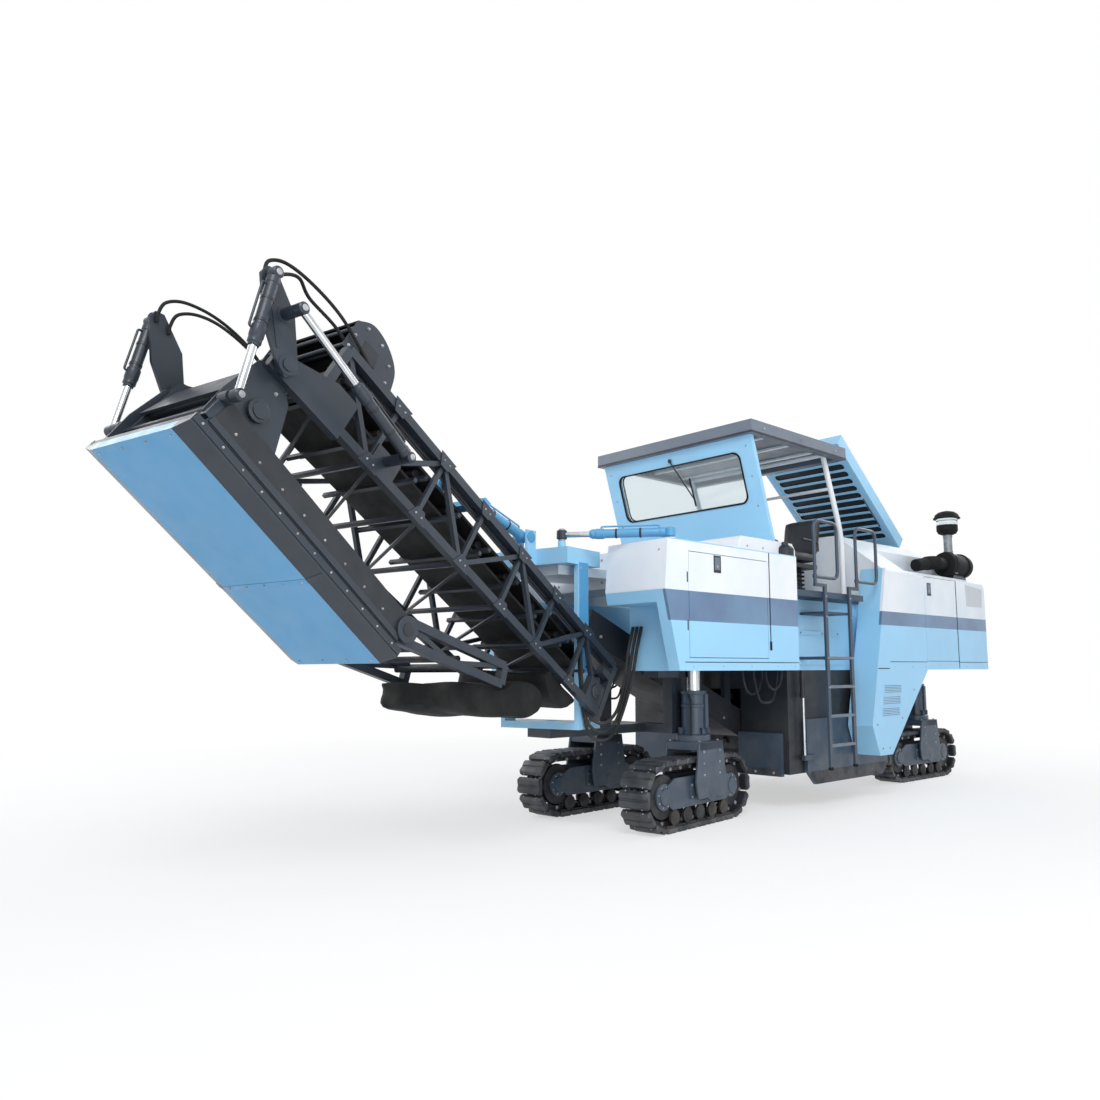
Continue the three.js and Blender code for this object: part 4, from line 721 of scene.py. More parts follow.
def leg_unit(unit):
    """Side frame, wheels, cheeks and lifting column of one track."""
    shape = Shape(track_place(unit) @ shift(0, -LEG_BEHIND, 0))
    axle = TRACK_HEIGHT / 2
    wheel_y = (TRACK_LENGTH - TRACK_HEIGHT) / 2
    back = LEG_BEHIND
    shape.block((-0.07, -wheel_y, axle - 0.1), (0.07, wheel_y, axle + 0.11), "dark")
    for y in (-wheel_y, wheel_y):
        rim = [(0, 0.10), (0.004, 0.185), (0.03, 0.19), (0.035, 0.17), (0.165, 0.17), (0.17, 0.19),
               (0.196, 0.185), (0.2, 0.10)]
        shape.turned((-0.1, y, axle), (1, 0, 0), rim, "cast", 32)
        for side in (-1, 1):
            hub = [(0, 0.115), (0.016, 0.112), (0.02, 0.075), (0.034, 0.07), (0.038, 0.03)]
            shape.turned((side * 0.1, y, axle), (side, 0, 0), hub, "slate", 32)
            heads = [(side * 0.116, y + a, axle + b) for a, b in circle(8, 0.088, 30)]
            shape.bolts(heads, (side, 0, 0), 0.01)
    plate = [(-0.52, 0.25), (-0.44, 0.19), (0.44, 0.19), (0.52, 0.25), (0.5, 0.40), (0.40, 0.45),
             (-0.40, 0.45), (-0.5, 0.40)]
    for side in (-1, 1):
        shape.prism(plate, side * 0.105, side * 0.128, "slate", 0.004)
        shape.prism(oblong(-0.17, 0.25, 0.27, 0.39), side * 0.128, side * 0.138, "slate", 0.003)
        shape.bolts([(side * 0.138, y, z) for y in (-0.15, 0.05, 0.25) for z in (0.27, 0.37)],
                    (side, 0, 0), 0.009)
        for k in range(5):
            y = -0.40 + k * 0.2
            roller = [(0, 0.05), (0.006, 0.068), (0.028, 0.068), (0.034, 0.045), (0.04, 0.03)]
            shape.turned((side * 0.098, y, 0.122), (side, 0, 0), roller, "cast", 20)
        cheek = [(-0.22 + back, axle - 0.06), (0.22 + back, axle - 0.06), (0.25 + back, 0.40),
                 (0.19 + back, 0.735), (-0.19 + back, 0.735), (-0.25 + back, 0.40)]
        shape.prism(cheek, side * 0.164, side * 0.19, "slate", 0.005)
        boss = [(0, 0.09), (0.012, 0.095), (0.03, 0.088), (0.032, 0.05), (0.036, 0.048)]
        shape.turned((side * 0.158, back, axle), (side, 0, 0), boss, "slate", 28)
        shape.bolts([(side * 0.19, back + y, z) for y in (-0.13, 0.13) for z in (0.45, 0.55, 0.65)],
                    (side, 0, 0), 0.012)
    shape.rod((-0.17, back, axle), (0.17, back, axle), 0.06, "steel", 24)
    shape.block((-0.19, back - 0.19, 0.665), (0.19, back + 0.19, 0.735), "slate")
    shape.bolts([(x, back + y, 0.735) for x in (-0.16, 0.16) for y in (-0.15, 0.15)], (0, 0, 1), 0.014)
    sleeve = [(0, 0.157), (0.05, 0.157), (0.06, 0.15), (0.065, 0.122), (0.10, 0.112), (0.30, 0.112),
              (0.305, 0.118), (0.33, 0.118), (0.335, 0.112), (0.42, 0.112), (0.424, 0.124), (0.452, 0.124),
              (0.455, 0.085)]
    shape.turned((0, back, 0.735), (0, 0, 1), sleeve, "slate", 40)
    shape.rod((0, back, 1.185), (0, back, 1.70), 0.071, "chrome", 40)
    home = shape.place
    for k in range(8):
        shape.place = home @ shift(0, back, 0) @ turn(22.5 + 45 * k, "Z")
        shape.block((0.108, -0.006, 0.80), (0.15, 0.006, 0.855), "slate")
        shape.bolts([(0.14, 0.0, 0.787)], (0, 0, 1), 0.009)
    shape.place = home
    shape.bar((0.118, back + 0.03, 0.85), (0.118, back + 0.03, 1.16), 0.02, 0.05, "slate")
    run = [(0.06, back - 0.135, 0.74), (0.06, back - 0.135, 1.10), (0.02, back - 0.118, 1.16)]
    pipe = bent_path(run, 0.04)
    shape.tube(pipe, 0.009, "hose", 8)
    piece(shape, f"{unit}_side_frame_and_column", unit + "_track", [f"{unit}_leg"], 0.003)


for unit in TRACKS:
    track_loop(unit)
    leg_unit(unit)


# ---------------------------------------------------------------- hydraulic cylinders
def cylinder(name, bodies, place, size, reach, level, paint_name):
    """A barrel from its eye at the origin along -Y, and its rod; pins run along X, or Z when level."""
    pin = Vector((0, 0, 1)) if level else Vector((1, 0, 0))
    cap_height = 0.009
    half = size["eye_width"] / 2 - cap_height

    def eye(shape, distance, tone):
        middle = Vector((0, -distance, 0))
        profile = [(0, size["eye"] - 0.008), (0.006, size["eye"]), (2 * half - 0.006, size["eye"]),
                   (2 * half, size["eye"] - 0.008)]
        shape.turned(middle - pin * half, pin, profile, tone, 32)
        cap = size["eye"] * 0.55
        for way in (-1, 1):
            shape.turned(middle + pin * way * (half - 0.002), pin * way,
                         [(0, cap), (0.006, cap), (cap_height, cap * 0.7)], "bolt", 20)
    length = size["barrel_length"]
    barrel = Shape(place)
    r = size["barrel"]
    tube = length - size["eye"] * 0.6
    bore = size["rod"] + 0.002
    floor = size["eye"] * 0.4 + 0.008
    profile = [(tube, bore), (floor, bore), (floor, 0.002), (0, 0.002), (0, r * 0.6), (0.012, r * 0.94),
               (0.05, r * 0.94), (0.055, r * 0.86), (tube - 0.13, r * 0.86), (tube - 0.125, r),
               (tube - 0.06, r), (tube - 0.055, r * 0.93), (tube - 0.02, r * 0.93), (tube - 0.016, r * 0.8),
               (tube, r * 0.72)]
    barrel.turned((0, -size["eye"] * 0.6, 0), (0, -1, 0), profile, paint_name, 36, True)
    eye(barrel, 0, paint_name)
    in_wall, clear = Vector((0, 0, r * 0.76)), Vector((0, 0, r * 0.86 + 0.022))
    rear, front = Vector((0, -length + 0.10, 0)), Vector((0, -0.09, 0))
    pipe = bent_path([rear + in_wall, rear + clear, front + clear, front + in_wall], 0.014)
    barrel.tube(pipe, 0.008, paint_name, 8)
    for distance in (length * 0.35, length * 0.65):
        band = [(0.018, r * 0.84), (0, r * 0.84), (0, r * 0.93), (0.018, r * 0.93)]
        barrel.turned((0, -distance, 0), (0, -1, 0), band, "dark", 28, True)
    piece(barrel, f"{name}_barrel_detail", bodies[0], [f"{name}_barrel"], 0.002)
    rod = Shape(place)
    rod_start, rod_end = -reach + size["rod_length"], -reach + size["eye"] * 0.7
    rod.rod((0, rod_start, 0), (0, rod_end, 0), size["rod"], "chrome", 32)
    eye(rod, reach, "lattice")
    piece(rod, f"{name}_rod_detail", bodies[1], [f"{name}_rod"])


def turned_point(point, angle):
    """A point given from the fold pin, in the base section's frame."""
    c, s = math.cos(math.radians(angle)), math.sin(math.radians(angle))
    return (FOLD_PIN[0] + point[0] * c - point[1] * s, FOLD_PIN[1] + point[0] * s + point[1] * c)


def fold_cylinder(name, side, size, start, end, bodies):
    run = (end[0] - start[0], end[1] - start[1])
    place = BASE @ shift(side * size["plane"], -start[0], start[1]) @ Matrix.Rotation(
        -math.atan2(run[1], run[0]), 4, "X")
    cylinder(name, bodies, place, size, math.hypot(*run), False, "lattice")


TIP_CYLINDER = {"plane": 0.632, "barrel": 0.042, "rod": 0.024, "eye": 0.036, "eye_width": 0.09,
                "barrel_length": 0.48, "rod_length": 0.46}
LEVER_CYLINDER = dict(TIP_CYLINDER, plane=0.728, barrel_length=0.574, rod_length=0.565)
LUFF_CYLINDER = {"barrel": 0.05, "rod": 0.028, "eye": 0.048, "eye_width": 0.106,
                 "barrel_length": 0.69, "rod_length": 0.70}
SLEW_CYLINDER = {"barrel": 0.045, "rod": 0.025, "eye": 0.045, "eye_width": 0.096,
                 "barrel_length": 0.688, "rod_length": 0.67}
# pins and eyes as (along, above) in their own frame; SLEW_EYE is (x, y, z), YOKE_EYE (across, ahead)
LEVER_RADIUS = 0.505
LEVER_PIN = (0.286, 0.048)
TIP_EYE = (-0.088, 0.432)
BASE_EYE = (2.829, -0.03)
LUFF_EYE = (0.42, 2.52)
MAST = (1.941, 0.684)
SLEW_EYE = (1.12, -0.72, 2.53)
YOKE_EYE = (0.32, 0.30)

for side_name, side in SIDES:
    fold_cylinder(f"{side_name}_tip_cylinder", side, TIP_CYLINDER,
                  turned_point((LEVER_RADIUS, 0), LEVER_ANGLE), turned_point(TIP_EYE, -FOLD_ANGLE),
                  ("tip_barrels", "tip_rods"))
    fold_cylinder(f"{side_name}_lever_cylinder", side, LEVER_CYLINDER, BASE_EYE,
                  turned_point(LEVER_PIN, LEVER_ANGLE), ("lever_barrels", "lever_rods"))
    c, s = math.cos(math.radians(SLEW_ANGLE)), math.sin(math.radians(SLEW_ANGLE))
    t = side * YOKE_EYE[0]
    run = (t * c + YOKE_EYE[1] * s - side * SLEW_EYE[0], SLEW_Y + t * s - YOKE_EYE[1] * c - SLEW_EYE[1])
    foot = MACHINE @ shift(side * SLEW_EYE[0], SLEW_EYE[1], SLEW_EYE[2]) @ Matrix.Rotation(
        math.atan2(run[0], -run[1]), 4, "Z")
    cylinder(f"{side_name}_slew_cylinder", (f"{side_name}_slew_barrel", f"{side_name}_slew_rod"), foot,
             SLEW_CYLINDER, math.hypot(*run), True, "shaded_blue")

base_c, base_s = math.cos(math.radians(BASE_ANGLE)), math.sin(math.radians(BASE_ANGLE))
mast_point = (FOOT_PIN[0] + MAST[0] * base_c - MAST[1] * base_s,
              FOOT_PIN[1] + MAST[0] * base_s + MAST[1] * base_c)
luff_run = (mast_point[0] - LUFF_EYE[0], mast_point[1] - LUFF_EYE[1])
luff_place = YOKE @ shift(0, -LUFF_EYE[0], LUFF_EYE[1]) @ Matrix.Rotation(
    -math.atan2(luff_run[1], luff_run[0]), 4, "X")
cylinder("luff_cylinder", ("luff_barrel", "luff_rod"), luff_place, LUFF_CYLINDER, math.hypot(*luff_run),
         False, "shaded_blue")


# ---------------------------------------------------------------- discharge conveyor
def base_section():
    """Lattice, idlers, side sheets and pin caps of the inner conveyor section."""
    shape = Shape(BASE)
    low, high = -0.133, 0.35
    bays, first_u, bay = 7, -0.15, 3.6 / 7
    for side in (-1, 1):
        t = side * CONVEYOR_HALF
        for k in range(1, bays):
            u = first_u + bay * k
            shape.bar(along(t, u, low + 0.02), along(t, u, high - 0.02), 0.034, 0.034, "lattice")
            for v in (low, high):
                gusset = [(-(u + 0.085), v - 0.045), (-(u - 0.085), v - 0.045), (-(u - 0.04), v + 0.05),
                          (-(u + 0.04), v + 0.05)]
                if v > 0:
                    gusset = [(y, 2 * v - z) for y, z in gusset][::-1]
                shape.prism(gusset, t + side * 0.031, t + side * 0.038, "lattice")
                shape.bolts([(t + side * 0.038, -u + y, v) for y in (-0.03, 0.03)], (side, 0, 0), 0.008)
        for u, v, radius in ((*FOLD_PIN, 0.055), (0.0, 0.0, 0.062)):
            boss = [(0, radius), (0.01, radius), (0.014, radius * 0.85), (0.014, radius * 0.6),
                    (0.026, radius * 0.55)]
            shape.turned(along(side * 0.531, u, v), (side, 0, 0), boss, "lattice", 28)
    idlers, idler_radius, belt_thick, gap = 9, 0.033, 0.022, 0.003
    v = BELT_LEVEL - belt_thick - gap - idler_radius
    for k in range(idlers):
        u = 0.1 + k * 3.15 / (idlers - 1)
        for start, finish in ((-0.33, -0.12), (-0.105, 0.105), (0.12, 0.33)):
            shape.rod(along(start, u, v), along(finish, u, v), idler_radius, "cast", 20)
        shape.bar(along(-0.47, u, v - 0.06), along(0.47, u, v - 0.06), 0.03, 0.03, "lattice")
        shape.bar(along(-0.47, u + 0.07, 0.095), along(0.47, u + 0.07, 0.095), 0.03, 0.03, "lattice")
    brace_v = low - 0.02
    for k in range(1, bays):
        u = first_u + bay * k
        shape.bar(along(-0.48, u, brace_v), along(0.48, u + bay - 0.05, brace_v), 0.022, 0.022, "lattice")
    for side in (-1, 1):
        t = side * 0.445
        rail, flap = oblong(-3.38, 0.30, 0.06, 0.375), oblong(-3.36, 0.306, 0.04, 0.345)
        shape.prism(rail, t, t + side * 0.006, "lattice")
        shape.prism(flap, t - side * 0.012, t - side * 0.002, "rubber")
        shape.bolts([along(t + side * 0.006, 0.2 + 0.6 * k, 0.34) for k in range(6)], (side, 0, 0), 0.008)
    shape.rod(along(-0.47, 3.40, 0.12), along(0.47, 3.40, 0.12), 0.06, "cast", 28)
    for t, v in ((0.462, 0.30), (0.478, 0.262)):
        for pipe_t in (t, -t):
            shape.tube([along(pipe_t, 0.25, v), along(pipe_t, 3.3, v)], 0.009, "dark", 8)
    piece(shape, "base_section_lattice", "conveyor_base", (), 0.002)


def base_belt_ribs():
    """Shallow chevron ribs on the carrying run of the inner section's belt."""
    shape = Shape(BASE)
    v = BELT_LEVEL + 0.003
    for k in range(13):
        u = 0.05 + 0.26 * k
        for side in (-1, 1):
            shape.bar(along(side * 0.02, u + 0.05, v), along(side * 0.31, u - 0.04, v), 0.014, 0.010, "belt")
    piece(shape, "base_belt_ribs", "conveyor_base")


def head_plates():
    """Big side plates, cross tube and scraper where the two sections meet."""
    shape = Shape(TIP)
    plate = [(-0.34, 0.40), (-0.20, 0.10), (-0.02, -0.02), (0.10, 0.06), (0.13, 0.36), (0.12, 0.56),
             (-0.30, 0.56)]
    heads = ((-0.25, 0.42), (-0.12, 0.42), (0.0, 0.42), (0.08, 0.30), (-0.10, 0.12))
    for side in (-1, 1):
        t = side * 0.47
        shape.prism(plate, t, t + side * 0.012, "lattice", 0.002)
        shape.bolts([(t + side * 0.012, y, z) for y, z in heads], (side, 0, 0), 0.013)
        shape.turned(along(side * 0.48, 0.09, 0.30), (side, 0, 0),
                     [(0, 0.07), (0.03, 0.07), (0.035, 0.05), (0.045, 0.048)], "lattice", 28)
    shape.rod(along(-0.42, -0.05, 0.26), along(0.42, -0.05, 0.26), 0.045, "lattice", 24)
    scraper = [(-0.02, 0.05), (0.06, 0.06), (0.11, 0.34), (0.09, 0.34)]
    shape.prism(scraper, -0.42, 0.42, "lattice", 0.004)
    piece(shape, "tip_head_plates", "conveyor_tip", (), 0.002)


def head_guard():
    """Cheeks, curved rubber roof and cross tubes over the head pulley of the inner section."""
    shape = Shape(BASE)
    top = [(0, 3.02, 0.40), (0, 3.08, 0.58), (0, 3.22, 0.68), (0, 3.38, 0.70), (0, 3.49, 0.62)]
    roof = [(-point.y, point.z) for point in smooth_path(top, 5)]
    cheek = roof + [(-3.49, 0.385), (-3.40, 0.385)]
    window = [(-3.22, 0.45), (-3.36, 0.45), (-3.37, 0.56), (-3.24, 0.57)]
    heads = ((-3.10, 0.45), (-3.14, 0.57), (-3.26, 0.64), (-3.40, 0.64), (-3.45, 0.52), (-3.45, 0.42))
    for side in (-1, 1):
        shape.prism(cheek, side * 0.447, side * 0.453, "lattice", 0.001)
        shape.bolts([(side * 0.453, y, z) for y, z in heads], (side, 0, 0), 0.012)
        # a dark patch on each cheek for an opening: painted shade inside it
        shape.prism(window, side * 0.453, side * 0.457, "dark", 0.002)
    middle_y = -3.28
    underside = [(y - (y - middle_y) * 0.03, z - 0.012) for y, z in roof[::-1]]
    shape.rings([[(t, y, z) for y, z in roof + underside] for t in (-0.446, 0.446)], "rubber")
    for u, v in ((3.06, 0.47), (3.30, 0.665), (3.47, 0.57), (3.47, 0.41)):
        shape.rod(along(-0.446, u, v), along(0.446, u, v), 0.014, "lattice", 16)
    for k in range(5):
        t = -0.36 + 0.18 * k
        shape.bar(along(t, 3.10, 0.615), along(t, 3.21, 0.695), 0.03, 0.006, "lattice")
    piece(shape, "head_guard", "conveyor_base", (), 0.001)


def tip_section():
    """Lattice, dark side strips, ring plates and idlers of the outer section."""
    shape = Shape(TIP)
    low, high, knee = TIP_LOW, TIP_HIGH, 1.70
    for side in (-1, 1):
        t = side * CONVEYOR_HALF
        strip = oblong(-knee, low - 0.03, 0.06, high + 0.028)
        shape.prism(strip, t + side * 0.0305, t + side * 0.036, "dark", 0.001)
        edge = oblong(-knee, high - 0.02, 0.07, high + 0.02)
        shape.prism(edge, t + side * 0.036, t + side * 0.044, "lattice", 0.001)
        heads = [along(t + side * 0.036, 0.08 + 0.2 * k, high - 0.055) for k in range(9)]
        shape.bolts(heads, (side, 0, 0), 0.009)
        ring = [(0, 0.085), (0.004, 0.09), (0.022, 0.09), (0.026, 0.085)]
        shape.turned(along(t + side * 0.032, knee + 0.02, 0.50), (side, 0, 0), ring, "lattice", 30)
        shape.turned(along(t + side * 0.058, knee + 0.02, 0.50), (side, 0, 0),
                     [(0, 0.045), (0.004, 0.045), (0.006, 0.03)], "dark", 24)
    for k in range(5):
        u = 0.22 + k * 0.33
        for start, finish in ((-0.34, -0.12), (-0.105, 0.105), (0.12, 0.34)):
            shape.rod(along(start, u, 0.53), along(finish, u, 0.53), 0.022, "cast", 18)
        shape.bar(along(-0.48, u + 0.06, 0.455), along(0.48, u + 0.06, 0.455), 0.03, 0.03, "lattice")
    for u in (0.1, 0.66):
        for t in (-0.48, 0.48):
            shape.bar(along(t, u, 0.44), along(-t, u + 0.52, 0.44), 0.024, 0.024, "lattice")
    droop = math.radians(23)
    for k in range(4):
        reach = 0.18 + 0.25 * k
        u = knee + reach * math.cos(droop) - 0.07 * math.sin(droop)
        v = high - reach * math.sin(droop) - 0.07 * math.cos(droop)
        shape.rod(along(-0.44, u, v), along(0.44, u, v), 0.024, "cast", 18)
    piece(shape, "tip_section_lattice", "conveyor_tip", (), 0.002)


def cover_trim():
    """Dark side lips, blue seam strip, end strips and bolts of the tip cover."""
    shape = Shape(TIP)
    half = CONVEYOR_HALF + CHORD / 2
    low = TIP_HIGH + CHORD / 2
    top = low + 0.11
    lip = oblong(-1.775, low + 0.004, 0.135, low + 0.05)
    for side in (-1, 1):
        t = side * (half - 0.004)
        shape.prism(lip, t, t + side * 0.01, "lattice", 0.001)
        for k in range(12):
            shape.bolts([along(t + side * 0.01, -0.08 + 0.16 * k, low + 0.027)], (side, 0, 0), 0.008)
    seam = 1.02
    side_t, flat_t = half - 0.001, half - COVER_CHAMFER - 0.001
    ridge = [
        (-side_t, low + 0.02), (-side_t, top - 0.044), (-flat_t, top - 0.001),
        (flat_t, top - 0.001), (side_t, top - 0.044), (side_t, low + 0.02),
    ]
    rings = []
    for u in (seam - 0.02, seam + 0.02):
        rings.append([along(t * 1.003, u, v + 0.004) for t, v in ridge] +
                     [along(t * 0.99, u, v - 0.006) for t, v in ridge[::-1]])
    shape.rings(rings, "cover")
    shape.bolts([along(t, seam, top + 0.002) for t in (-0.36, -0.18, 0.0, 0.18, 0.36)], (0, 0, 1), 0.009)
    end_t = half - 0.03
    for u, way in ((-0.132, 1), (1.772, -1)):
        shape.bar(along(-end_t, u, low + 0.03), along(end_t, u, low + 0.03), 0.012, 0.05, "lattice")
        heads = [along(t, u + way * 0.03, top + 0.0005) for t in (-0.36, -0.12, 0.12, 0.36)]
        shape.bolts(heads, (0, 0, 1), 0.008)
    piece(shape, "tip_cover_trim", "conveyor_tip", (), 0.0015)


def slack_rubber(name, body, place, outline, half, replaced, creases, hump):
    """Hanging rubber: a smooth closed section across the conveyor, puckered along its creases."""
    ring = smooth_path([Vector((0, y, z)) for y, z in outline + outline[:1]], 5)[:-1]
    centre = sum(ring, Vector()) / len(ring)
    shape = Shape(place)
    rings = []
    steps = 44
    for k in range(steps + 1):
        t = -half + 2 * half * k / steps
        edge = min(1.0, (half - abs(t)) / 0.05)
        section = []
        for j, point in enumerate(ring):
            away = point - centre
            wave = (math.sin(creases[0] * t / half + 0.4)
                    + math.cos(creases[1] * j + 1.3 * math.sin(2.1 * t / half)))
            swell = 1.0 - hump * (0.5 + 0.25 * wave) - 0.08 * (1 - edge)
            section.append((t, centre.y + away.y * swell, centre.z + away.z * swell))
        rings.append(section)
    shape.rings(rings, "rubber")
    return piece(shape, name, body, [replaced])


def lever_trim():
    """Ribs and pin collars of the fold levers."""
    shape = Shape(LEVER)
    rib = [(-0.46, -0.02), (-0.10, -0.055), (-0.10, -0.035), (-0.46, 0.0)]
    for side in (-1, 1):
        t = side * 0.582
        shape.prism(rib, t, t + side * 0.004, "lattice")
        for u, v, radius in ((LEVER_RADIUS, 0.0, 0.052), (*LEVER_PIN, 0.05), (0.0, 0.0, 0.062)):
            ring = [(0, radius), (0.003, radius), (0.0045, radius * 0.8)]
            shape.turned(along(t, u, v), (side, 0, 0), ring, "lattice", 28)
    piece(shape, "fold_lever_trim", "fold_levers")


def yoke_trim():
    """Pin caps, bolts and side strips of the swing yoke."""
    shape = Shape(YOKE)
    shape.turned((0, 0, 2.42), (0, 0, 1),
                 [(0, 0.12), (0.012, 0.12), (0.018, 0.105), (0.03, 0.1), (0.034, 0.07)], "shaded_blue", 36)
    shape.bolts([(a, b, 2.448) for a, b in circle(6, 0.085)], (0, 0, 1), 0.012)
    for side in (-1, 1):
        t = side * 0.4225
        shape.bolts([(t, y, z) for y in (-0.17, -0.08) for z in (1.5, 1.75, 2.0, 2.25)], (side, 0, 0), 0.013)
        shape.prism(oblong(-0.19, 1.36, -0.06, 2.30), t, t + side * 0.006, "shaded_blue", 0.002)
        shape.turned((side * 0.32, -0.30, 2.478), (0, 0, 1),
                     [(0, 0.03), (0.10, 0.03), (0.106, 0.02)], "bolt", 20)
        shape.turned((side * 0.078, -0.42, 2.52), (side, 0, 0),
                     [(0, 0.05), (0.008, 0.05), (0.012, 0.035)], "shaded_blue", 24)
    piece(shape, "yoke_trim", "yoke", (), 0.002)


base_section()
base_belt_ribs()
head_guard()
tip_section()
head_plates()
cover_trim()
lever_trim()
yoke_trim()

TIP_RUBBER = [(-2.42, 0.36), (-2.59, 0.49), (-2.88, 0.34), (-3.14, 0.15), (-3.27, 0.0), (-3.13, -0.17),
              (-2.84, 0.03), (-2.72, 0.20)]
apron = slack_rubber("slack_discharge_belt", "conveyor_tip", TIP, TIP_RUBBER, 0.485, "discharge_skirt",
                     (5.2, 0.95), 0.17)
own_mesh(apron)

FOOT_RUBBER = [(-0.13, -0.172), (-0.35, -0.17), (-0.61, -0.172), (-0.555, -0.30), (-0.38, -0.365),
               (-0.19, -0.28)]
slack_rubber("foot_rubber", "conveyor_base", BASE, FOOT_RUBBER, 0.475, "foot_skirt", (4.1, 1.15), 0.14)


# ---------------------------------------------------------------- body panels
def side_seam(shape, side, low, high, width=0.012):
    """A flush seam on one flank between two (y, z) points."""
    x = side * (BODY_HALF - 0.001)
    shape.block((x - 0.003, low[0] - width / 2, low[1] - width / 2),
                (x + 0.003, high[0] + width / 2, high[1] + width / 2), "rubber")


def front_trim():
    """Seams, hinge knuckles, caps and bolts of the front body."""
    shape = Shape()
    for side in (-1, 1):
        x = side * BODY_HALF
        side_seam(shape, side, (0.50, 1.62), (0.50, 2.44))
        shape.block((x - 0.004, 0.485, 1.55), (x + 0.004, 0.515, 1.63), "rubber")
        side_seam(shape, side, (-0.70, 1.44), (0.94, 1.44), 0.006)
        shape.block((x - side * 0.02, -0.88, 2.445), (x, 0.94, 2.455), "blue")
        shape.bolts([(x - side * 0.003, y, 1.405) for y in (-0.6, -0.2, 0.2, 0.6, 0.88)], (side, 0, 0), 0.008)
        shape.bolts([(side * 1.16, -0.896, z) for z in (2.36, 2.28)], (0, -1, 0), 0.016)
        for z in (1.7, 2.1):
            shape.rod((x - side * 0.008, -0.66, z), (x - side * 0.008, -0.66, z + 0.09), 0.012, "slate", 14)
        shape.rod((side * 1.12, -0.72, 2.45), (side * 1.12, -0.72, 2.462), 0.075, "blue", 28)
    shape.bolts([(x, -0.58, z) for x in (-0.45, -0.15, 0.15, 0.45) for z in (2.18, 2.39)], (0, -1, 0), 0.014)
    shape.bolts([(x, -1.2, 2.28) for x in (-0.24, -0.12, 0.12, 0.24)], (0, 0, 1), 0.014)
    piece(shape, "front_body_trim", "chassis")


def door_latch(side_name, side, y, z, body):
    """Recessed paddle latch on a door skin."""
    shape = Shape()
    x = side * BODY_HALF
    surround = oblong(y - 0.05, z - 0.075, y + 0.05, z + 0.075)
    shape.prism(surround, x - side * 0.004, x + side * 0.002, "dark", 0.001)
    paddle = oblong(y - 0.036, z - 0.05, y + 0.036, z + 0.06)
    shape.prism(paddle, x - side * 0.001, x + side * 0.004, "grey", 0.002)
    shape.turned((x + side * 0.002, y, z - 0.02), (side, 0, 0),
                 [(0, 0.012), (0.002, 0.012), (0.003, 0.009)], "steel", 18)
    piece(shape, f"{side_name}_{body.split('_', 1)[1]}_latch", body, (), 0.001)


def service_trim():
    """Seams, grille patches, lamps and radiator bars of the rear body."""
    shape = Shape()
    patch = [(4.68, 2.15), (5.12, 2.15), (5.15, 2.38), (4.66, 2.42)]
    lamp = [(0, 0.055), (0.0016, 0.06), (0.0056, 0.058), (0.008, 0.04)]
    for side in (-1, 1):
        x = side * BODY_HALF
        side_seam(shape, side, (4.39, 1.39), (4.39, 2.44))
        side_seam(shape, side, (2.70, 1.457), (3.55, 1.457), 0.006)
        side_seam(shape, side, (4.40, 1.457), (5.20, 1.457), 0.006)
        shape.prism(patch, x - side * 0.002, x + side * 0.002, "grille", 0.001)
        shape.bolts([(x - side * 0.003, y, 1.40) for y in (2.8, 3.2, 3.5, 4.6, 5.0)], (side, 0, 0), 0.008)
        for z, tone in ((2.05, "red_lens"), (1.90, "amber_lens"), (1.75, "clear_lens")):
            shape.turned((side * 1.08, 5.217, z), (0, 1, 0), lamp, tone, 28)
    for k in range(11):
        z = 1.56 + 0.062 * k
        shape.bar((-0.82, 5.216, z), (0.82, 5.216, z), 0.01, 0.03, "slate")
    rim = ((-0.86, 1.50, 0.86, 1.53), (-0.86, 2.22, 0.86, 2.25), (-0.86, 1.53, -0.83, 2.22),
           (0.83, 1.53, 0.86, 2.22))
    for x0, z0, x1, z1 in rim:
        shape.block((x0, 5.205, z0), (x1, 5.2195, z1), "slate")
    piece(shape, "rear_body_trim", "chassis", (), 0.0015)


def vents():
    """Barred grille patches, bolts and a dark seam of the left wedge."""
    shape = Shape()
    x = BODY_HALF
    for k in range(3):
        middle, low = 2.66 + 0.03 * k, 0.88 + 0.12 * k
        shape.prism(oblong(middle - 0.19, low, middle + 0.19, low + 0.092), x, x + 0.004, "blue", 0.001)
        for j in range(5):
            z = low + 0.012 + 0.017 * j
            shape.bar((x + 0.003, middle - 0.18, z), (x + 0.003, middle + 0.18, z), 0.005, 0.006, "grey")
    heads = ((2.36, 0.80), (2.46, 0.55), (2.60, 0.55), (2.9, 0.85), (3.2, 1.15))
    shape.bolts([(x, y, z) for y, z in heads], (1, 0, 0), 0.010)
    shape.bar((x + 0.001, 2.43, 1.385), (x + 0.001, 2.67, 1.385), 0.005, 0.008, "rubber")
    piece(shape, "left_wedge_vents", "chassis")


def alcove():
    """Tank, rails, bolts and a step in the recess behind the ladder."""
    shape = Shape()
    tank = [(0, 0.05), (0.01, 0.09), (0.40, 0.09), (0.42, 0.075), (0.44, 0.04), (0.47, 0.035)]
    shape.turned((1.02, 1.10, 2.16), (0, 0, 1), tank, "dark", 32)
    for z in (2.25, 2.45):
        shape.turned((1.02, 1.10, z), (0, 0, 1), [(0, 0.094), (0.02, 0.094)], "steel", 32)
    for z in (1.45, 1.75, 2.0):
        shape.bar((0.905, 1.0, z), (0.905, 2.3, z), 0.012, 0.05, "blue")
    for side in (1, -1):
        shape.bolts([(side * 0.912, y, 1.75) for y in (1.1, 1.5, 1.9, 2.2)], (side, 0, 0), 0.012)
    shape.prism(oblong(1.5, 1.93, 1.94, 1.955), 0.91, 1.20, "deck", 0.003)
    piece(shape, "platform_side_tank", "chassis", (), 0.002)


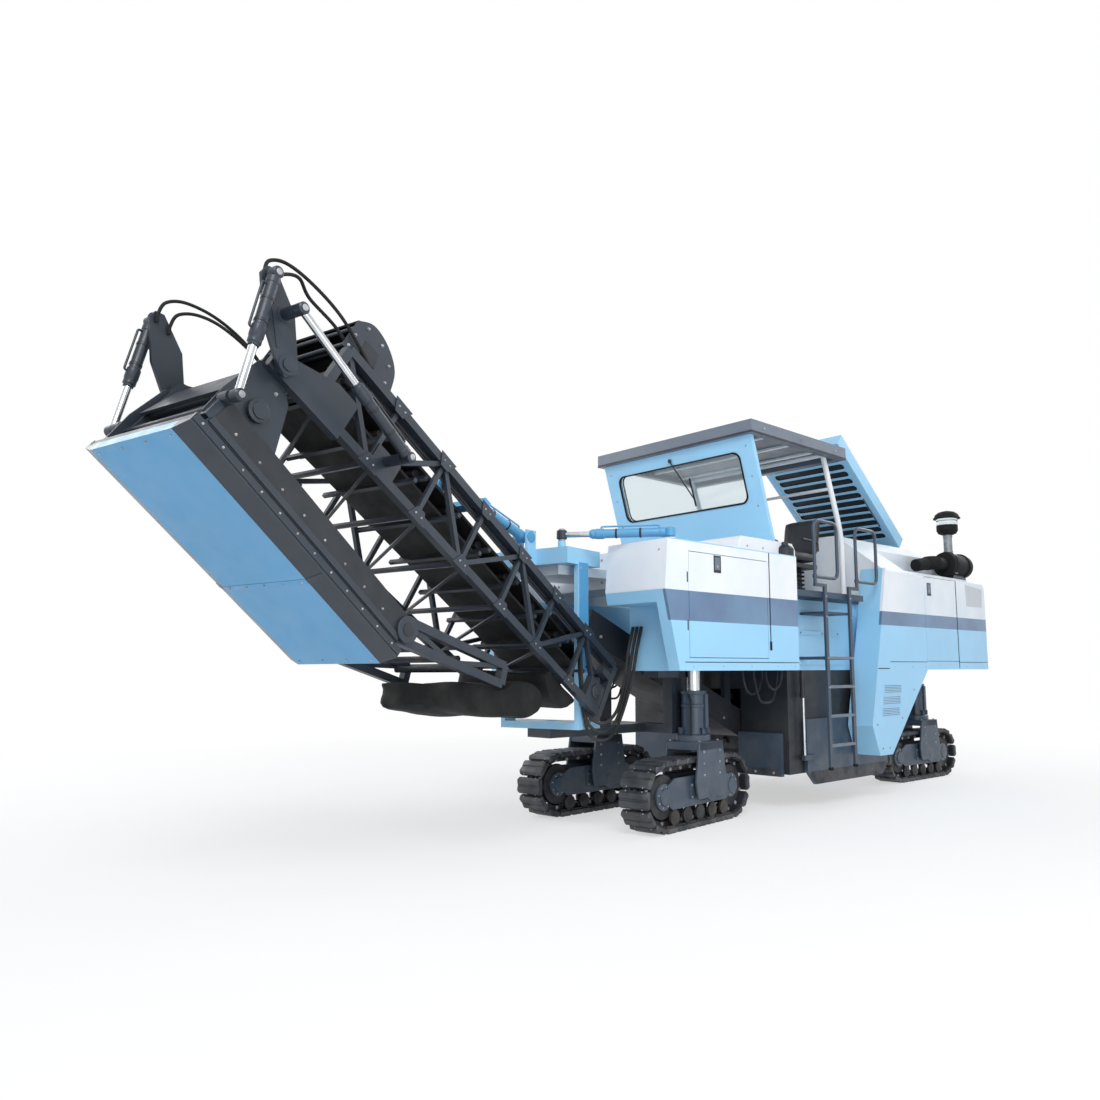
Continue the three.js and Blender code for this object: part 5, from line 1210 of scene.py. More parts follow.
def rounded_rectangle(half_w, half_h, radius, steps=6):
    points = []
    for quarter, (across, up) in enumerate(((1, 1), (-1, 1), (-1, -1), (1, -1))):
        for k in range(steps + 1):
            a = math.radians(90 * (quarter + k / steps))
            points.append((across * (half_w - radius) + radius * math.cos(a),
                           up * (half_h - radius) + radius * math.sin(a)))
    return points


def pierced_sheet(name, body, place, outline, holes, thickness, finish):
    """A flat sheet in the place's XY plane with holes, as one closed mesh."""
    curve = bpy.data.curves.new(name, "CURVE")
    curve.dimensions = "2D"
    curve.fill_mode = "BOTH"
    curve.extrude = thickness / 2
    for ring in [outline] + holes:
        spline = curve.splines.new("POLY")
        spline.points.add(len(ring) - 1)
        for point, (x, y) in zip(spline.points, ring):
            point.co = (x, y, 0, 1)
        spline.use_cyclic_u = True
    maker = stand(name + "_outline", curve)
    mesh = bpy.data.meshes.new_from_object(maker.evaluated_get(bpy.context.evaluated_depsgraph_get()))
    bpy.data.objects.remove(maker)
    mesh.name = name
    close_up(mesh, 1e-5)
    mesh.transform(place)
    mesh.materials.clear()
    mesh.materials.append(FINISH[finish])
    made = stand(name, mesh)
    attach(made, body)


# ---------------------------------------------------------------- operator station
SCREEN_TOP = Vector((0, 0.601, 3.621))
SCREEN_FOOT = Vector((0, 0.850, 2.827))


def windshield():
    """Light-blue screen frame with a round-cornered window, gasket, glass and wiper."""
    up = (SCREEN_TOP - SCREEN_FOOT).normalized()
    out = Vector((1, 0, 0)).cross(up)
    ahead = -out if out.y > 0 else out
    low, high, half = 3.008, 3.511, 0.84
    middle = SCREEN_FOOT + up * (((low + high) / 2 - SCREEN_FOOT.z) / up.z)
    place = MACHINE @ Matrix((
        (1, up.x, -ahead.x, middle.x),
        (0, up.y, -ahead.y, middle.y),
        (0, up.z, -ahead.z, middle.z),
        (0, 0, 0, 1),
    ))
    half_h = (high - low) / 2 / up.z
    shape = Shape(place)
    arc_steps = 8
    ring = rounded_rectangle(half, half_h, 0.09, arc_steps)
    for depth, width in ((-0.006, 0.016), (0.056, 0.012)):
        inner = rounded_rectangle(half - width, half_h - width, 0.08, arc_steps)
        shape.hollow_slab(ring, inner, depth, depth + 0.012, "rubber")
    for q, (sx, sy) in enumerate(((1, 1), (-1, 1), (-1, -1), (1, -1))):
        arc = ring[q * (arc_steps + 1):(q + 1) * (arc_steps + 1)]
        shape.slab([(sx * (half + 0.004), sy * (half_h + 0.004))] + arc, 0.002, 0.048, "blue")
    wiper_top = half_h + 0.05
    shape.rod((-0.05, wiper_top, -0.016), (-0.05, wiper_top, 0.0), 0.022, "dark", 20)
    shape.bar((-0.05, wiper_top, -0.012), (0.17, -0.12, -0.012), 0.012, 0.008, "dark")
    shape.bar((0.165, 0.10, -0.010), (0.175, -0.20, -0.010), 0.014, 0.01, "rubber")
    for side in (-1, 1):
        shape.bolts([(side * 0.93, y, 0) for y in (-0.3, 0.0, 0.3)], (0, 0, -1), 0.010)
    piece(shape, "windshield_gasket_and_wiper", "chassis")
    pane = Shape(place)
    pane.slab(ring, 0.020, 0.026, "glass")
    piece(pane, "windshield_glass", "chassis")


def roof_trim():
    """Gutter, panel ribs and liner of the canopy, with its lamps."""
    shape = Shape()
    half, front, rear, low = 1.063, 0.543, 2.258, 3.644
    for y in (front + 0.004, rear - 0.004):
        shape.bar((-half, y, low + 0.012), (half, y, low + 0.012), 0.012, 0.022, "dark")
    for side in (-1, 1):
        x = side * (half - 0.004)
        shape.bar((x, front, low + 0.012), (x, rear, low + 0.012), 0.012, 0.022, "dark")
        shape.bolts([(side * half, y, low + 0.07) for y in (0.75, 1.4, 2.05)], (side, 0, 0), 0.010)
    liner = rounded_rectangle(half - 0.09, (rear - front) / 2 - 0.09, 0.05)
    middle = (front + rear) / 2
    shape.slab([(x, middle + y) for x, y in liner], 3.700, 3.712, "grey")
    for y in (0.95, 1.4, 1.85):
        shape.bar((-half + 0.1, y, 3.690), (half - 0.1, y, 3.690), 0.05, 0.02, "white")
    lamp = [(0, 0.035), (0.004, 0.035), (0.008, 0.03)]
    for x in (-0.75, 0.75):
        shape.block((x - 0.09, 0.60, 3.650), (x + 0.09, 0.66, 3.70), "dark")
        for k in (-0.04, 0.04):
            shape.turned((x + k, 0.601, 3.675), (0, -1, 0), lamp, "clear_lens", 20)
    piece(shape, "canopy_trim", "chassis", (), 0.002)


def rear_posts():
    """Round bent tubes that carry the back of the canopy."""
    shape = Shape()
    top = 3.716
    for side in (-1, 1):
        x = side * 0.92
        spine = [(x, 2.34, PLATFORM_TOP + 0.004), (x, 2.34, 2.835), (x, 2.013, top - 0.002)]
        shape.tube(bent_path(spine, 0.16, 8), 0.029, "white", 20)
        shape.block((x - 0.07, 2.28, PLATFORM_TOP + 0.0005), (x + 0.07, 2.40, PLATFORM_TOP + 0.014), "slate")
        shape.bolts([(x + a, 2.34 + b, PLATFORM_TOP + 0.014) for a in (-0.05, 0.05) for b in (-0.045, 0.045)],
                    (0, 0, 1), 0.009)
    shape.tube([(-0.92, 2.01, top - 0.03), (0.92, 2.01, top - 0.03)], 0.028, "white", 20)
    shape.tube([(-0.92, 2.15, 3.33), (0.92, 2.15, 3.33)], 0.016, "white", 14)
    piece(shape, "canopy_rear_tubes", "chassis", ["canopy_rear_frame"])


def console():
    """Console box, shelf, steering columns, control panels and seats."""
    shape = Shape()
    front, depth = 0.97, 0.33
    floor, top = PLATFORM_TOP + 0.001, PLATFORM_TOP + 0.48
    half = 1.01
    profile = [(front, floor), (front + depth, floor), (front + depth, top - 0.06),
               (front + depth - 0.05, top), (front, top)]
    shape.prism(profile, -half, half, "white", 0.006)
    shelf = [(0.38, FRONT_TOP + 0.002), (front + 0.001, FRONT_TOP + 0.002), (front + 0.001, top),
             (0.42, top), (0.38, top - 0.04)]
    shape.prism(shelf, -half, half, "white", 0.008)
    panel = [(front + 0.06, top - 0.01), (front + 0.30, top - 0.01), (front + 0.26, top + 0.05),
             (front + 0.08, top + 0.085)]
    column = [(0, 0.04), (0.02, 0.045), (0.06, 0.03), (0.085, 0.028)]
    knob = [(0, 0.012), (0.02, 0.012), (0.022, 0.009)]
    pedestal = [(1.72, floor), (1.96, floor), (1.94, floor + 0.30), (1.74, floor + 0.30)]
    for side in (-1, 1):
        x = side * SEAT_X
        shape.prism(panel, x - 0.30, x + 0.30, "slate", 0.006)
        shape.turned((x, front + 0.18, top - 0.005), (0, 0.03, 0.205), column, "dark", 24)
        for k, tone in enumerate(("red_lens", "amber_lens", "clear_lens")):
            knob_x = x - 0.22 + 0.07 * k
            shape.turned((knob_x, front + 0.24, top + 0.045), (0, 0.06, 0.255), knob, tone, 16)
        shape.bolts([(side * half, y, z) for y in (1.0, 1.26) for z in (2.25, 2.5)], (side, 0, 0), 0.010)
        shape.bolts([(side * half, y, 2.54) for y in (0.5, 0.75)], (side, 0, 0), 0.010)
        shape.prism(pedestal, x - 0.10, x + 0.10, "dark", 0.008)
        for k in range(5):
            z = floor + 0.08 + 0.045 * k
            shape.block((x - 0.115, 1.71, z), (x + 0.115, 1.97, z + 0.02), "rubber")
        shape.block((x - 0.22, 1.62, floor + 0.30), (x + 0.22, 2.06, floor + 0.345), "dark")
        for arm in (-1, 1):
            arm_x = x + arm * 0.215
            rest = [(arm_x, 2.09, floor + 0.50), (arm_x, 2.09, floor + 0.60), (arm_x, 1.80, floor + 0.61)]
            shape.tube(bent_path(rest, 0.04), 0.014, "dark", 12)
    shape.block((-0.06, front + depth - 0.02, floor), (0.06, 1.90, floor + 0.04), "slate")
    shape.block((-SEAT_X, 1.75, floor), (SEAT_X, 1.90, floor + 0.038), "slate")
    piece(shape, "operator_console", "chassis", ["operator_station"], 0.003)
    for side_name, side in SIDES:
        x = side * SEAT_X
        cushion(f"{side_name}_seat_cushion", shift(x, 1.835, floor + 0.415), (0.225, 0.225, 0.068))
        cushion(f"{side_name}_seat_back", shift(x, 2.105, floor + 0.66) @ turn(79.5, "X"),
                (0.225, 0.205, 0.045))


def cushion(name, place, half):
    """Crowned pad with pulled-in sides, a sewn rim and two channels."""
    count = 26
    shape = Shape(MACHINE @ place)
    points = []
    for layer in (-1, 1):
        for j in range(count + 1):
            for k in range(count + 1):
                a, b = 2 * j / count - 1, 2 * k / count - 1
                x = half[0] * math.copysign(abs(a) ** 0.86, a)
                y = half[1] * math.copysign(abs(b) ** 0.86, b)
                reach = max(abs(a), abs(b))
                run = a if abs(b) > 0.99 else b
                waist = 1 - 0.10 * (a * b) ** 4 - 0.035 * math.cos(run * math.pi / 2) * reach ** 6
                rise = 0.25 + 0.75 * (1 - reach ** 7) ** 0.5 * (1 - 0.18 * (a * a + b * b))
                if layer > 0 and abs(b) < 0.86:
                    rise -= sum(0.13 * math.exp(-((a - seam) / 0.035) ** 2) for seam in (-0.42, 0.42))
                points.append((x * waist, y * waist, layer * half[2] * rise * (1 if layer > 0 else 0.7)))
    row = count + 1
    size = row * row
    faces = []
    for layer in (0, 1):
        for j in range(count):
            for k in range(count):
                a = layer * size + j * row + k
                face = (a, a + 1, a + row + 1, a + row)
                faces.append(face if layer == 0 else face[::-1])
    border = [(j, 0) for j in range(count)] + [(count, k) for k in range(count)] + [
        (j, count) for j in range(count, 0, -1)] + [(0, k) for k in range(count, 0, -1)]
    for (j0, k0), (j1, k1) in zip(border, border[1:] + border[:1]):
        a, b = j0 * row + k0, j1 * row + k1
        faces.append((a, b, size + b, size + a))
    shape.add(points, faces, "vinyl")
    path = [(half[0] * 0.985 * math.copysign(abs(a) ** 0.3, a),
             half[1] * 0.985 * math.copysign(abs(b) ** 0.3, b), 0.0) for a, b in circle(64, 1)]
    shape.tube(path + path[:1], 0.0045, "vinyl", 6)
    made = piece(shape, name, "chassis")
    made.data.set_sharp_from_angle(angle=math.radians(80))


def hand_loops(shape, x, base):
    """Two bent tube loops on one side of the platform."""
    low, high = 2.29, 2.86
    for y in (1.32, 2.11):
        path = [(x, y, base), (x, y, high), (x, y + 0.42, high), (x, y + 0.42, low), (x, y, low)]
        shape.tube(bent_path(path, 0.09, 7), 0.0175, "slate", 16)
        shape.turned((x, y, low - 0.01), (0, 0, 1), [(0, 0.024), (0.03, 0.024)], "slate", 20)


def handrails_and_ladder():
    """Hand loops on both sides and the ladder, with studded treads."""
    shape = Shape()
    x = 1.218
    tie = PLATFORM_TOP + 0.06
    hand_loops(shape, x, tie)
    for y in (1.49, 1.95):
        shape.slab(oblong(x - 0.013, y - 0.023, x + 0.013, y + 0.023), 0.42, 2.225, "slate")
        shape.bar((x, y, 1.49), (0.901, y, 1.49), 0.03, 0.03, "slate")
        shape.bolts([(x + 0.013, y, z) for z in (1.2, 1.49, 1.9, 2.1)], (1, 0, 0), 0.010)
        shape.rod((x, y, 0.40), (x, y, 0.43), 0.026, "rubber", 16)
    for start, end in ((1.305, 1.49), (1.95, 2.125)):
        shape.bar((x, start, tie), (x, end, tie), 0.03, 0.03, "slate")
    stud = [(0, 0.011), (0.004, 0.009), (0.0045, 0.005)]
    for k in range(4):
        z = 0.632 + 0.286 * k
        tread = oblong(x - 0.016, z - 0.014, x + 0.016, z + 0.012)
        shape.rings([[(a, y, b) for a, b in tread] for y in (1.50, 1.94)], "grey")
        for j in range(10):
            y = 1.54 + 0.04 * j
            shape.turned((x, y, z + 0.011), (0, 0, 1), stud, "steel", 12)
    piece(shape, "left_ladder_and_loops", "chassis", ["left_ladder"], 0.002)
    right = Shape()
    x, floor = -1.15, PLATFORM_TOP
    hand_loops(right, x, floor + 0.004)
    right.block((x - 0.025, 1.28, floor + 0.0005), (x + 0.025, 2.15, floor + 0.012), "slate")
    right.bolts([(x, y, floor + 0.012) for y in (1.4, 1.7, 2.0)], (0, 0, 1), 0.010)
    piece(right, "right_hand_loops", "chassis", ["right_handrail"], 0.002)


front_trim()
service_trim()
vents()
alcove()
windshield()
roof_trim()
rear_posts()
console()
handrails_and_ladder()
for side_name, side in SIDES:
    door_latch(side_name, side, -0.26, 2.28, f"{side_name}_locker_door")
    door_latch(side_name, side, 3.68, 2.30, f"{side_name}_service_door")


# ---------------------------------------------------------------- engine, hood and intake
def hood():
    """Louvred hood: a rolled rim, slotted skins above and below, and a dark block between them as painted
    shade behind the slots.
    """
    half, length, thick = 0.59, 1.80, 0.16
    shape = Shape(HOOD)
    rim = 0.06
    inner_half, inner_end = half - rim, -length + rim
    shape.hollow_slab(oblong(-half, -length, half, 0), oblong(-inner_half, inner_end, inner_half, -rim),
                      0.001, thick - 0.001, "blue")
    # a dark block filling the hood between the skins: painted shade seen through the slots
    shade_block_half, shade_block_end = inner_half + 0.001, inner_end - 0.001
    shape.block((-shade_block_half, shade_block_end, 0.030), (shade_block_half, -rim + 0.001, thick - 0.030), "dark")
    for side in (-1, 1):
        shape.rod((side * 0.48 - 0.05, -0.01, 0.03), (side * 0.48 + 0.05, -0.01, 0.03), 0.022, "slate", 20)
        shape.bar((side * 0.5, -0.4, 0.012), (side * 0.5, -0.9, 0.012), 0.02, 0.02, "chrome")
    piece(shape, "engine_hood_rim", "hood", ["engine_hood"], 0.012, 3)
    sheet_half, sheet_y = inner_half + 0.002, length / 2 - rim + 0.002
    outline = oblong(-sheet_half, -sheet_y, sheet_half, sheet_y)
    slots = []
    count = 12
    pitch = (2 * sheet_y - 0.24) / count
    slot = rounded_rectangle(sheet_half - 0.035, pitch * 0.38, pitch * 0.36)
    for k in range(count):
        y = -sheet_y + 0.12 + pitch * (k + 0.5)
        slots.append([(x, y + dy) for x, dy in slot])
    for name, level in (("engine_hood_lower_skin", 0.014), ("engine_hood_upper_skin", thick - 0.012)):
        pierced_sheet(name, "hood", HOOD @ shift(0, -length / 2, level), outline, slots, 0.012, "blue")


def intake():
    """Air filter canister, corrugated elbow, intake pipe and pre-cleaner with a clear bowl."""
    shape = Shape()
    radius, saddle_height = 0.165, 0.03
    x, y0, z = 1.04, 4.56, REAR_TOP + 0.0003 + radius + saddle_height
    body = [(0, 0.10), (0.006, 0.150), (0.03, 0.156), (0.06, 0.156), (0.063, 0.164), (0.09, 0.164),
            (0.093, 0.152), (0.40, 0.150), (0.403, 0.164), (0.43, 0.164), (0.434, 0.150), (0.53, 0.146),
            (0.55, 0.12), (0.556, 0.05), (0.559, 0.045)]
    shape.turned((x, y0, z), (0, 1, 0), body, "rubber", 48)
    for a, b in circle(4, 0.16, 45):
        clip_x = x + a * 1.008
        shape.bar((clip_x, y0 + 0.06, z + b), (clip_x, y0 + 0.13, z + b), 0.012, 0.012, "steel")
    run = bent_path([(x, y0 + 0.04, z), (x, y0 - 0.30, z), (x - 0.06, y0 - 0.635, z - 0.06)], 0.12, 10)
    shape.tube(run, 0.076, "rubber", 28)
    bead = [(0, 0.077), (0.006, 0.085), (0.014, 0.085), (0.02, 0.077)]
    for here, ahead in zip(run[2:-1], run[3:]):
        shape.turned(here, ahead - here, bead, "rubber", 28)
    saddle = [(y0 + 0.09, REAR_TOP + 0.001), (y0 + 0.48, REAR_TOP + 0.001), (y0 + 0.44, z - 0.10),
              (y0 + 0.13, z - 0.10)]
    shape.prism(saddle, x - 0.07, x + 0.07, "slate", 0.004)
    stack_y = y0 + 0.15
    shape.rod((x, stack_y, z + 0.10), (x, stack_y, 3.09), 0.053, "steel", 32)
    for level in (z + 0.16, 3.04):
        shape.turned((x, stack_y, level), (0, 0, 1), [(0, 0.058), (0.018, 0.058)], "steel", 32)
    bowl = [(0, 0.06), (0.02, 0.11), (0.05, 0.125), (0.055, 0.13), (0.12, 0.13), (0.125, 0.12)]
    shape.turned((x, stack_y, 3.07), (0, 0, 1), bowl, "rubber", 44)
    for a, b in circle(24, 0.124):
        shape.bar((x + a, stack_y + b, 3.12), (x + a, stack_y + b, 3.19), 0.008, 0.01, "rubber")
    dome = [(0, 0.165), (0.014, 0.165), (0.018, 0.155), (0.055, 0.14), (0.085, 0.10), (0.098, 0.05),
            (0.102, 0.02)]
    shape.turned((x, stack_y, 3.278), (0, 0, 1), dome, "rubber", 48)
    knob = [(0, 0.018), (0.004, 0.018), (0.006, 0.012)]
    shape.turned((x, stack_y, 3.378), (0, 0, 1), knob, "steel", 16)
    piece(shape, "air_filter_and_intake", "chassis", ["air_cleaner"], 0.0015)
    clear = Shape()
    clear.turned((x, stack_y, 3.193), (0, 0, 1),
                 [(0, 0.118), (0.004, 0.128), (0.075, 0.132), (0.083, 0.126)], "bowl", 44)
    piece(clear, "pre_cleaner_bowl", "chassis")


def engine():
    """Block, heads, manifolds, fan and filters round the engine's mass."""
    shape = Shape()
    start, length, low = 2.98, 1.18, 1.70
    end, top = start + length, low + 0.90
    shape.block((-0.30, start + 0.02, low + 0.002), (0.30, end - 0.02, low + 0.62), "cast")
    shape.block((-0.18, start + 0.04, low + 0.60), (0.18, end - 0.04, top - 0.14), "cast")
    for k in range(6):
        y = start + 0.14 + 0.18 * k
        shape.block((-0.12, y - 0.07, top - 0.15), (0.12, y + 0.07, top - 0.05), "grey")
        shape.bolts([(x, y, top - 0.05) for x in (-0.08, 0.08)], (0, 0, 1), 0.012)
        port = bent_path([(0.17, y, low + 0.66), (0.30, y, low + 0.68), (0.33, y, low + 0.76)], 0.05)
        shape.tube(port, 0.028, "cast", 14)
    shape.rod((0.33, start + 0.08, low + 0.78), (0.33, end - 0.08, low + 0.78), 0.045, "cast", 24)
    turbo = [(0, 0.05), (0.01, 0.10), (0.07, 0.105), (0.09, 0.07), (0.15, 0.06), (0.17, 0.09), (0.24, 0.095),
             (0.25, 0.06)]
    shape.turned((-0.27, start + 0.45, low + 0.72), (0, 1, 0), turbo, "steel", 32)
    for k in range(3):
        y = start + 0.25 + 0.16 * k
        shape.turned((-0.335, y, low + 0.12), (0, 0, 1),
                     [(0, 0.04), (0.01, 0.044), (0.20, 0.044), (0.21, 0.03)], "white", 24)
    shape.rod((0, start, low + 0.35), (0, start + 0.05, low + 0.35), 0.16, "cast", 32)
    shape.rod((0.2, start, low + 0.62), (0.2, start + 0.045, low + 0.62), 0.07, "cast", 28)
    shape.rod((-0.2, start, low + 0.60), (-0.2, start + 0.045, low + 0.60), 0.08, "cast", 28)
    shape.block((-0.32, start + 0.10, 1.6505), (0.32, end - 0.10, low + 0.01), "dark")
    piece(shape, "engine_detail", "chassis", ["engine_block"], 0.004)


hood()
intake()
engine()


# ---------------------------------------------------------------- milling gear
def drum():
    """Smooth drum shell with two hands of pick spirals."""
    place = MACHINE @ shift(0, *DRUM_CENTRE)
    shape = Shape(place)
    x0, x1 = -CHAMBER_RIGHT + 0.065, CHAMBER_LEFT - 0.065
    radius = DRUM_RADIUS
    length = x1 - x0
    shell = [(0, 0.36), (0, radius - 0.01), (0.01, radius), (length - 0.01, radius), (length, radius - 0.01),
             (length, 0.36)]
    shape.turned((x0, 0, 0), (1, 0, 0), shell, "cast", 64)
    cap = [(0, 0.2), (0.012, 0.2), (0.016, 0.12)]
    for side, x in ((-1, x0), (1, x1)):
        shape.turned((x - side * 0.001, 0, 0), (side, 0, 0), cap, "steel", 36)
    shape.rod((-CHAMBER_RIGHT + 0.002, 0, 0), (CHAMBER_LEFT - 0.002, 0, 0), 0.0695, "steel", 32)
    picks = 96
    tip = [(0, 0.014), (0.014, 0.014), (0.03, 0.009), (0.042, 0.004)]
    for k in range(picks):
        x = x0 + 0.045 + k / (picks - 1) * (length - 0.09)
        angle = 137.5 * k if k % 8 == 0 else 24 * abs(k - picks / 2) + (k % 3) * 120
        shape.place = place @ turn(angle, "X")
        foot = [(a, b, radius - 0.012) for a, b in oblong(x - 0.028, -0.04, x + 0.028, 0.045)]
        head = [(a, b, radius + (0.030 if b > 0 else 0.026))
                for a, b in oblong(x - 0.020, -0.016, x + 0.020, 0.038)]
        shape.rings([foot, head], "cast")
        shape.turned((x, 0.010, radius + 0.018), (0, -0.032, 0.042), tip, "steel", 10)
    piece(shape, "milling_drum_and_picks", "drum", ["milling_drum"])


def plate_trim():
    """Wear strips, ribs and bolts of the side plates, moldboard and hold-down."""
    skid = [(1.66, 0.234), (2.97, 0.234), (3.06, 0.33), (3.06, 0.36), (1.56, 0.36), (1.56, 0.32)]
    for side_name, side in SIDES:
        wall = CHAMBER_LEFT if side > 0 else CHAMBER_RIGHT
        shape = Shape()
        outer = side * (wall + PLATE_GAP + PLATE_THICK)
        proud = 0.003 if side > 0 else 0.007
        shape.prism(skid, outer, outer + side * proud, "shoe", 0.003)
        if side < 0:
            for y in (1.70, 2.25, 2.80):
                shape.block((outer - 0.013, y - 0.02, 0.38), (outer, y + 0.02, 0.86), "slate")
        heads = [(outer + side * proud, y, 0.30) for y in (1.75, 2.0, 2.25, 2.5, 2.75)]
        shape.bolts(heads, (side, 0, 0), proud)
        if side > 0:
            x, y = wall + 0.055, 1.44
            shape.rod((x, y, 0.52), (x, y, 1.22), 0.014, "chrome", 20)
            shape.block((x - 0.02, y - 0.02, 0.48), (x + 0.02, y + 0.18, 0.53), "slate")
            guide = Shape()
            bore = [(0.27, 0.017), (0, 0.017), (0, 0.030), (0.02, 0.034), (0.05, 0.034), (0.055, 0.028),
                    (0.27, 0.028)]
            guide.turned((x, y, 1.095), (0, 0, 1), bore, "dark", 24, True)
            piece(guide, "left_plate_lift_guide", "chassis")
        piece(shape, f"{side_name}_side_plate_trim", f"{side_name}_side_plate", (), 0.002)
    board = Shape()
    y = CHAMBER_FRONT + CHAMBER_LENGTH + PLATE_GAP + PLATE_THICK
    board.block((-1.15, y, 0.342), (0.86, y + 0.012, 0.42), "shoe")
    board.bolts([(-1.05 + 0.2 * k, y + 0.012, 0.38) for k in range(10)], (0, 1, 0), 0.014)
    piece(board, "moldboard_trim", "moldboard", (), 0.002)
    shoe = Shape()
    y = CHAMBER_FRONT - PLATE_GAP - 0.05
    shoe.block((-1.12, y - 0.012, 0.332), (0.83, y, 0.40), "shoe")
    shoe.bolts([(-1.0 + 0.22 * k, y - 0.012, 0.366) for k in range(9)], (0, -1, 0), 0.014)
    piece(shoe, "hold_down_trim", "hold_down", (), 0.002)


def primary_trim():
    """Belt, ribs and trough bolts of the primary conveyor."""
    shape = Shape()
    rear, front = Vector((0, 1.23, 0.70)), Vector((0, -0.95, 1.678))
    run = (front - rear).normalized()
    up = Vector((1, 0, 0)).cross(run)
    up = up if up.z > 0 else -up
    floor = 0.26 * 0.55
    thick = 0.012
    across = Vector((0.235, 0, 0))
    rings = []
    for distance in (0.35, 2.2):
        under = rear + run * distance + up * (floor + 0.012)
        over = under + up * thick
        rings.append([under - across, under + across, over + across, over - across])
    shape.rings(rings, "belt")
    half_rib = Vector((0.2, 0, 0))
    for k in range(8):
        spot = rear + run * (0.45 + 0.22 * k) + up * (floor + 0.012 + thick)
        shape.bar(spot - half_rib, spot + half_rib, 0.014, 0.012, "belt")
    for side in (-1, 1):
        spots = [rear + run * (0.3 + 0.38 * k) + up * 0.08 + Vector((side * 0.3, 0, 0)) for k in range(6)]
        shape.bolts(spots, (side, 0, 0), 0.016)
    piece(shape, "primary_belt", "chassis")


drum()
plate_trim()
primary_trim()


# ---------------------------------------------------------------- finishes of the kept CAD solids
COATS = {
    "lattice": ("base_conveyor_frame", "tip_conveyor_frame", "left_fold_lever", "right_fold_lever",
                "lower_slew_arm"),
    "belt": ("base_belt", "tip_belt"),
    "shaded_blue": ("luff_mast",),
    "cover": ("tip_cover",),
    "blue": ("swing_yoke", "windshield_frame"),
    "front_livery": ("front_body", "left_locker_door", "right_locker_door"),
    "rear_livery": ("rear_body", "left_service_door", "right_service_door"),
    "fairing_livery": ("middle_body",),
    "deck": ("operator_platform",),
    "grey": ("canopy_roof",),
    "dark": ("primary_conveyor", "main_frame"),
    "slate": ("left_side_plate", "right_side_plate", "rear_moldboard", "front_hold_down"),
}
for finish_name, node_names in COATS.items():
    for node_name in node_names:
        coat(node_name, finish_name)


# ---------------------------------------------------------------- hoses
def hose(name, place, points, diameter, body, across=None):
    """A free hose through the points; with across it is baked in place on no body, and the second body and
    two places in across are not used.
    """
    path = [place @ point for point in smooth_path(points, 9)]
    shape = Shape(Matrix.Identity(4))
    shape.tube(path, diameter / 2, "hose", 14)
    if across:
        made = piece(shape, name, None)
        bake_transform(made)
    else:
        made = piece(shape, name, body)


def fold_head_hoses():
    """Pairs of hoses that leave the base rails, arch over the fold levers and reach the cylinder heads."""
    for side_name, side in SIDES:
        for k, swing in enumerate((0.0, 0.05)):
            t = side * (0.475 - swing)
            arch = [
                along(t, 2.95, 0.33), along(t, 3.12, 0.36), along(t, 3.32 - swing, 0.44 - swing),
                along(t, 3.60 - swing, 0.505 - swing), along(t + side * 0.01, 3.86 - swing, 0.485 - swing),
                along(side * 0.51, 4.06 - 2 * swing, 0.41), along(side * 0.525, 4.15 - 2 * swing, 0.31),
                along(side * 0.540, 4.14 - 2 * swing, 0.22), along(side * 0.547, 4.11 - 2 * swing, 0.17),
            ]
            hose(f"{side_name}_fold_hose_{k + 1}", BASE, arch, 0.022, "conveyor_base",
                 ("fold_levers", along(t, 3.25, 0.4), along(t, 3.75, 0.4)))


def mast_cables():
    """Two lines from the conveyor head down to the luffing mast."""
    for k, t in enumerate((0.40, 0.33)):
        run = [along(t, 3.05, 0.36), along(t - 0.01, 2.97, 0.45), along(t - 0.06, 2.80, 0.53),
               along(0.20, 2.35, 0.60 + 0.03 * k), along(0.13, 2.02, 0.66 + 0.02 * k)]
        hose(f"mast_line_{k + 1}", BASE, run, 0.018, "conveyor_base", None)


def yoke_hoses():
    """Slack loops between the body and the swing yoke, on the left."""
    for k in range(3):
        drop = 0.07 * k
        loop = [
            (0.62 + 0.05 * k, -0.66, 1.75), (0.62 + 0.05 * k, -0.72, 1.55), (0.62 + 0.04 * k, -0.78, 1.25),
            (0.60, -0.86, 1.02 - drop), (0.54, -0.97, 0.93 - drop), (0.48, -1.08, 1.02 - drop),
            (0.46 + 0.01 * k, -1.14, 1.25), (0.45 + 0.01 * k, -1.15, 1.60), (0.43, -1.15, 1.85),
        ]
        hose(f"yoke_hose_{k + 1}", MACHINE, loop, 0.028, "chassis",
             ("yoke", (0.61, -0.80, 1.1), (0.48, -1.10, 1.1)))


def belly_hoses():
    """Slack loops under the front body, behind the left and right front columns."""
    for side_name, side in SIDES:
        for k, (y, reach, drop) in enumerate(((0.42, 0.30, 0.22), (0.52, 0.38, 0.30), (0.64, 0.26, 0.18))):
            x = side * (0.98 + 0.05 * k)
            low = BODY_BOTTOM - drop
            loop = [
                (x, y, BODY_BOTTOM - 0.002), (x, y + 0.01, BODY_BOTTOM - 0.08),
                (x, y + reach * 0.22, low + 0.03), (x, y + reach * 0.5, low),
                (x, y + reach * 0.78, low + 0.03),
                (x, y + reach - 0.01, BODY_BOTTOM - 0.08), (x, y + reach, BODY_BOTTOM - 0.002),
            ]
            hose(f"{side_name}_belly_hose_{k + 1}", MACHINE, loop, 0.022, "chassis")


fold_head_hoses()
mast_cables()
yoke_hoses()
belly_hoses()


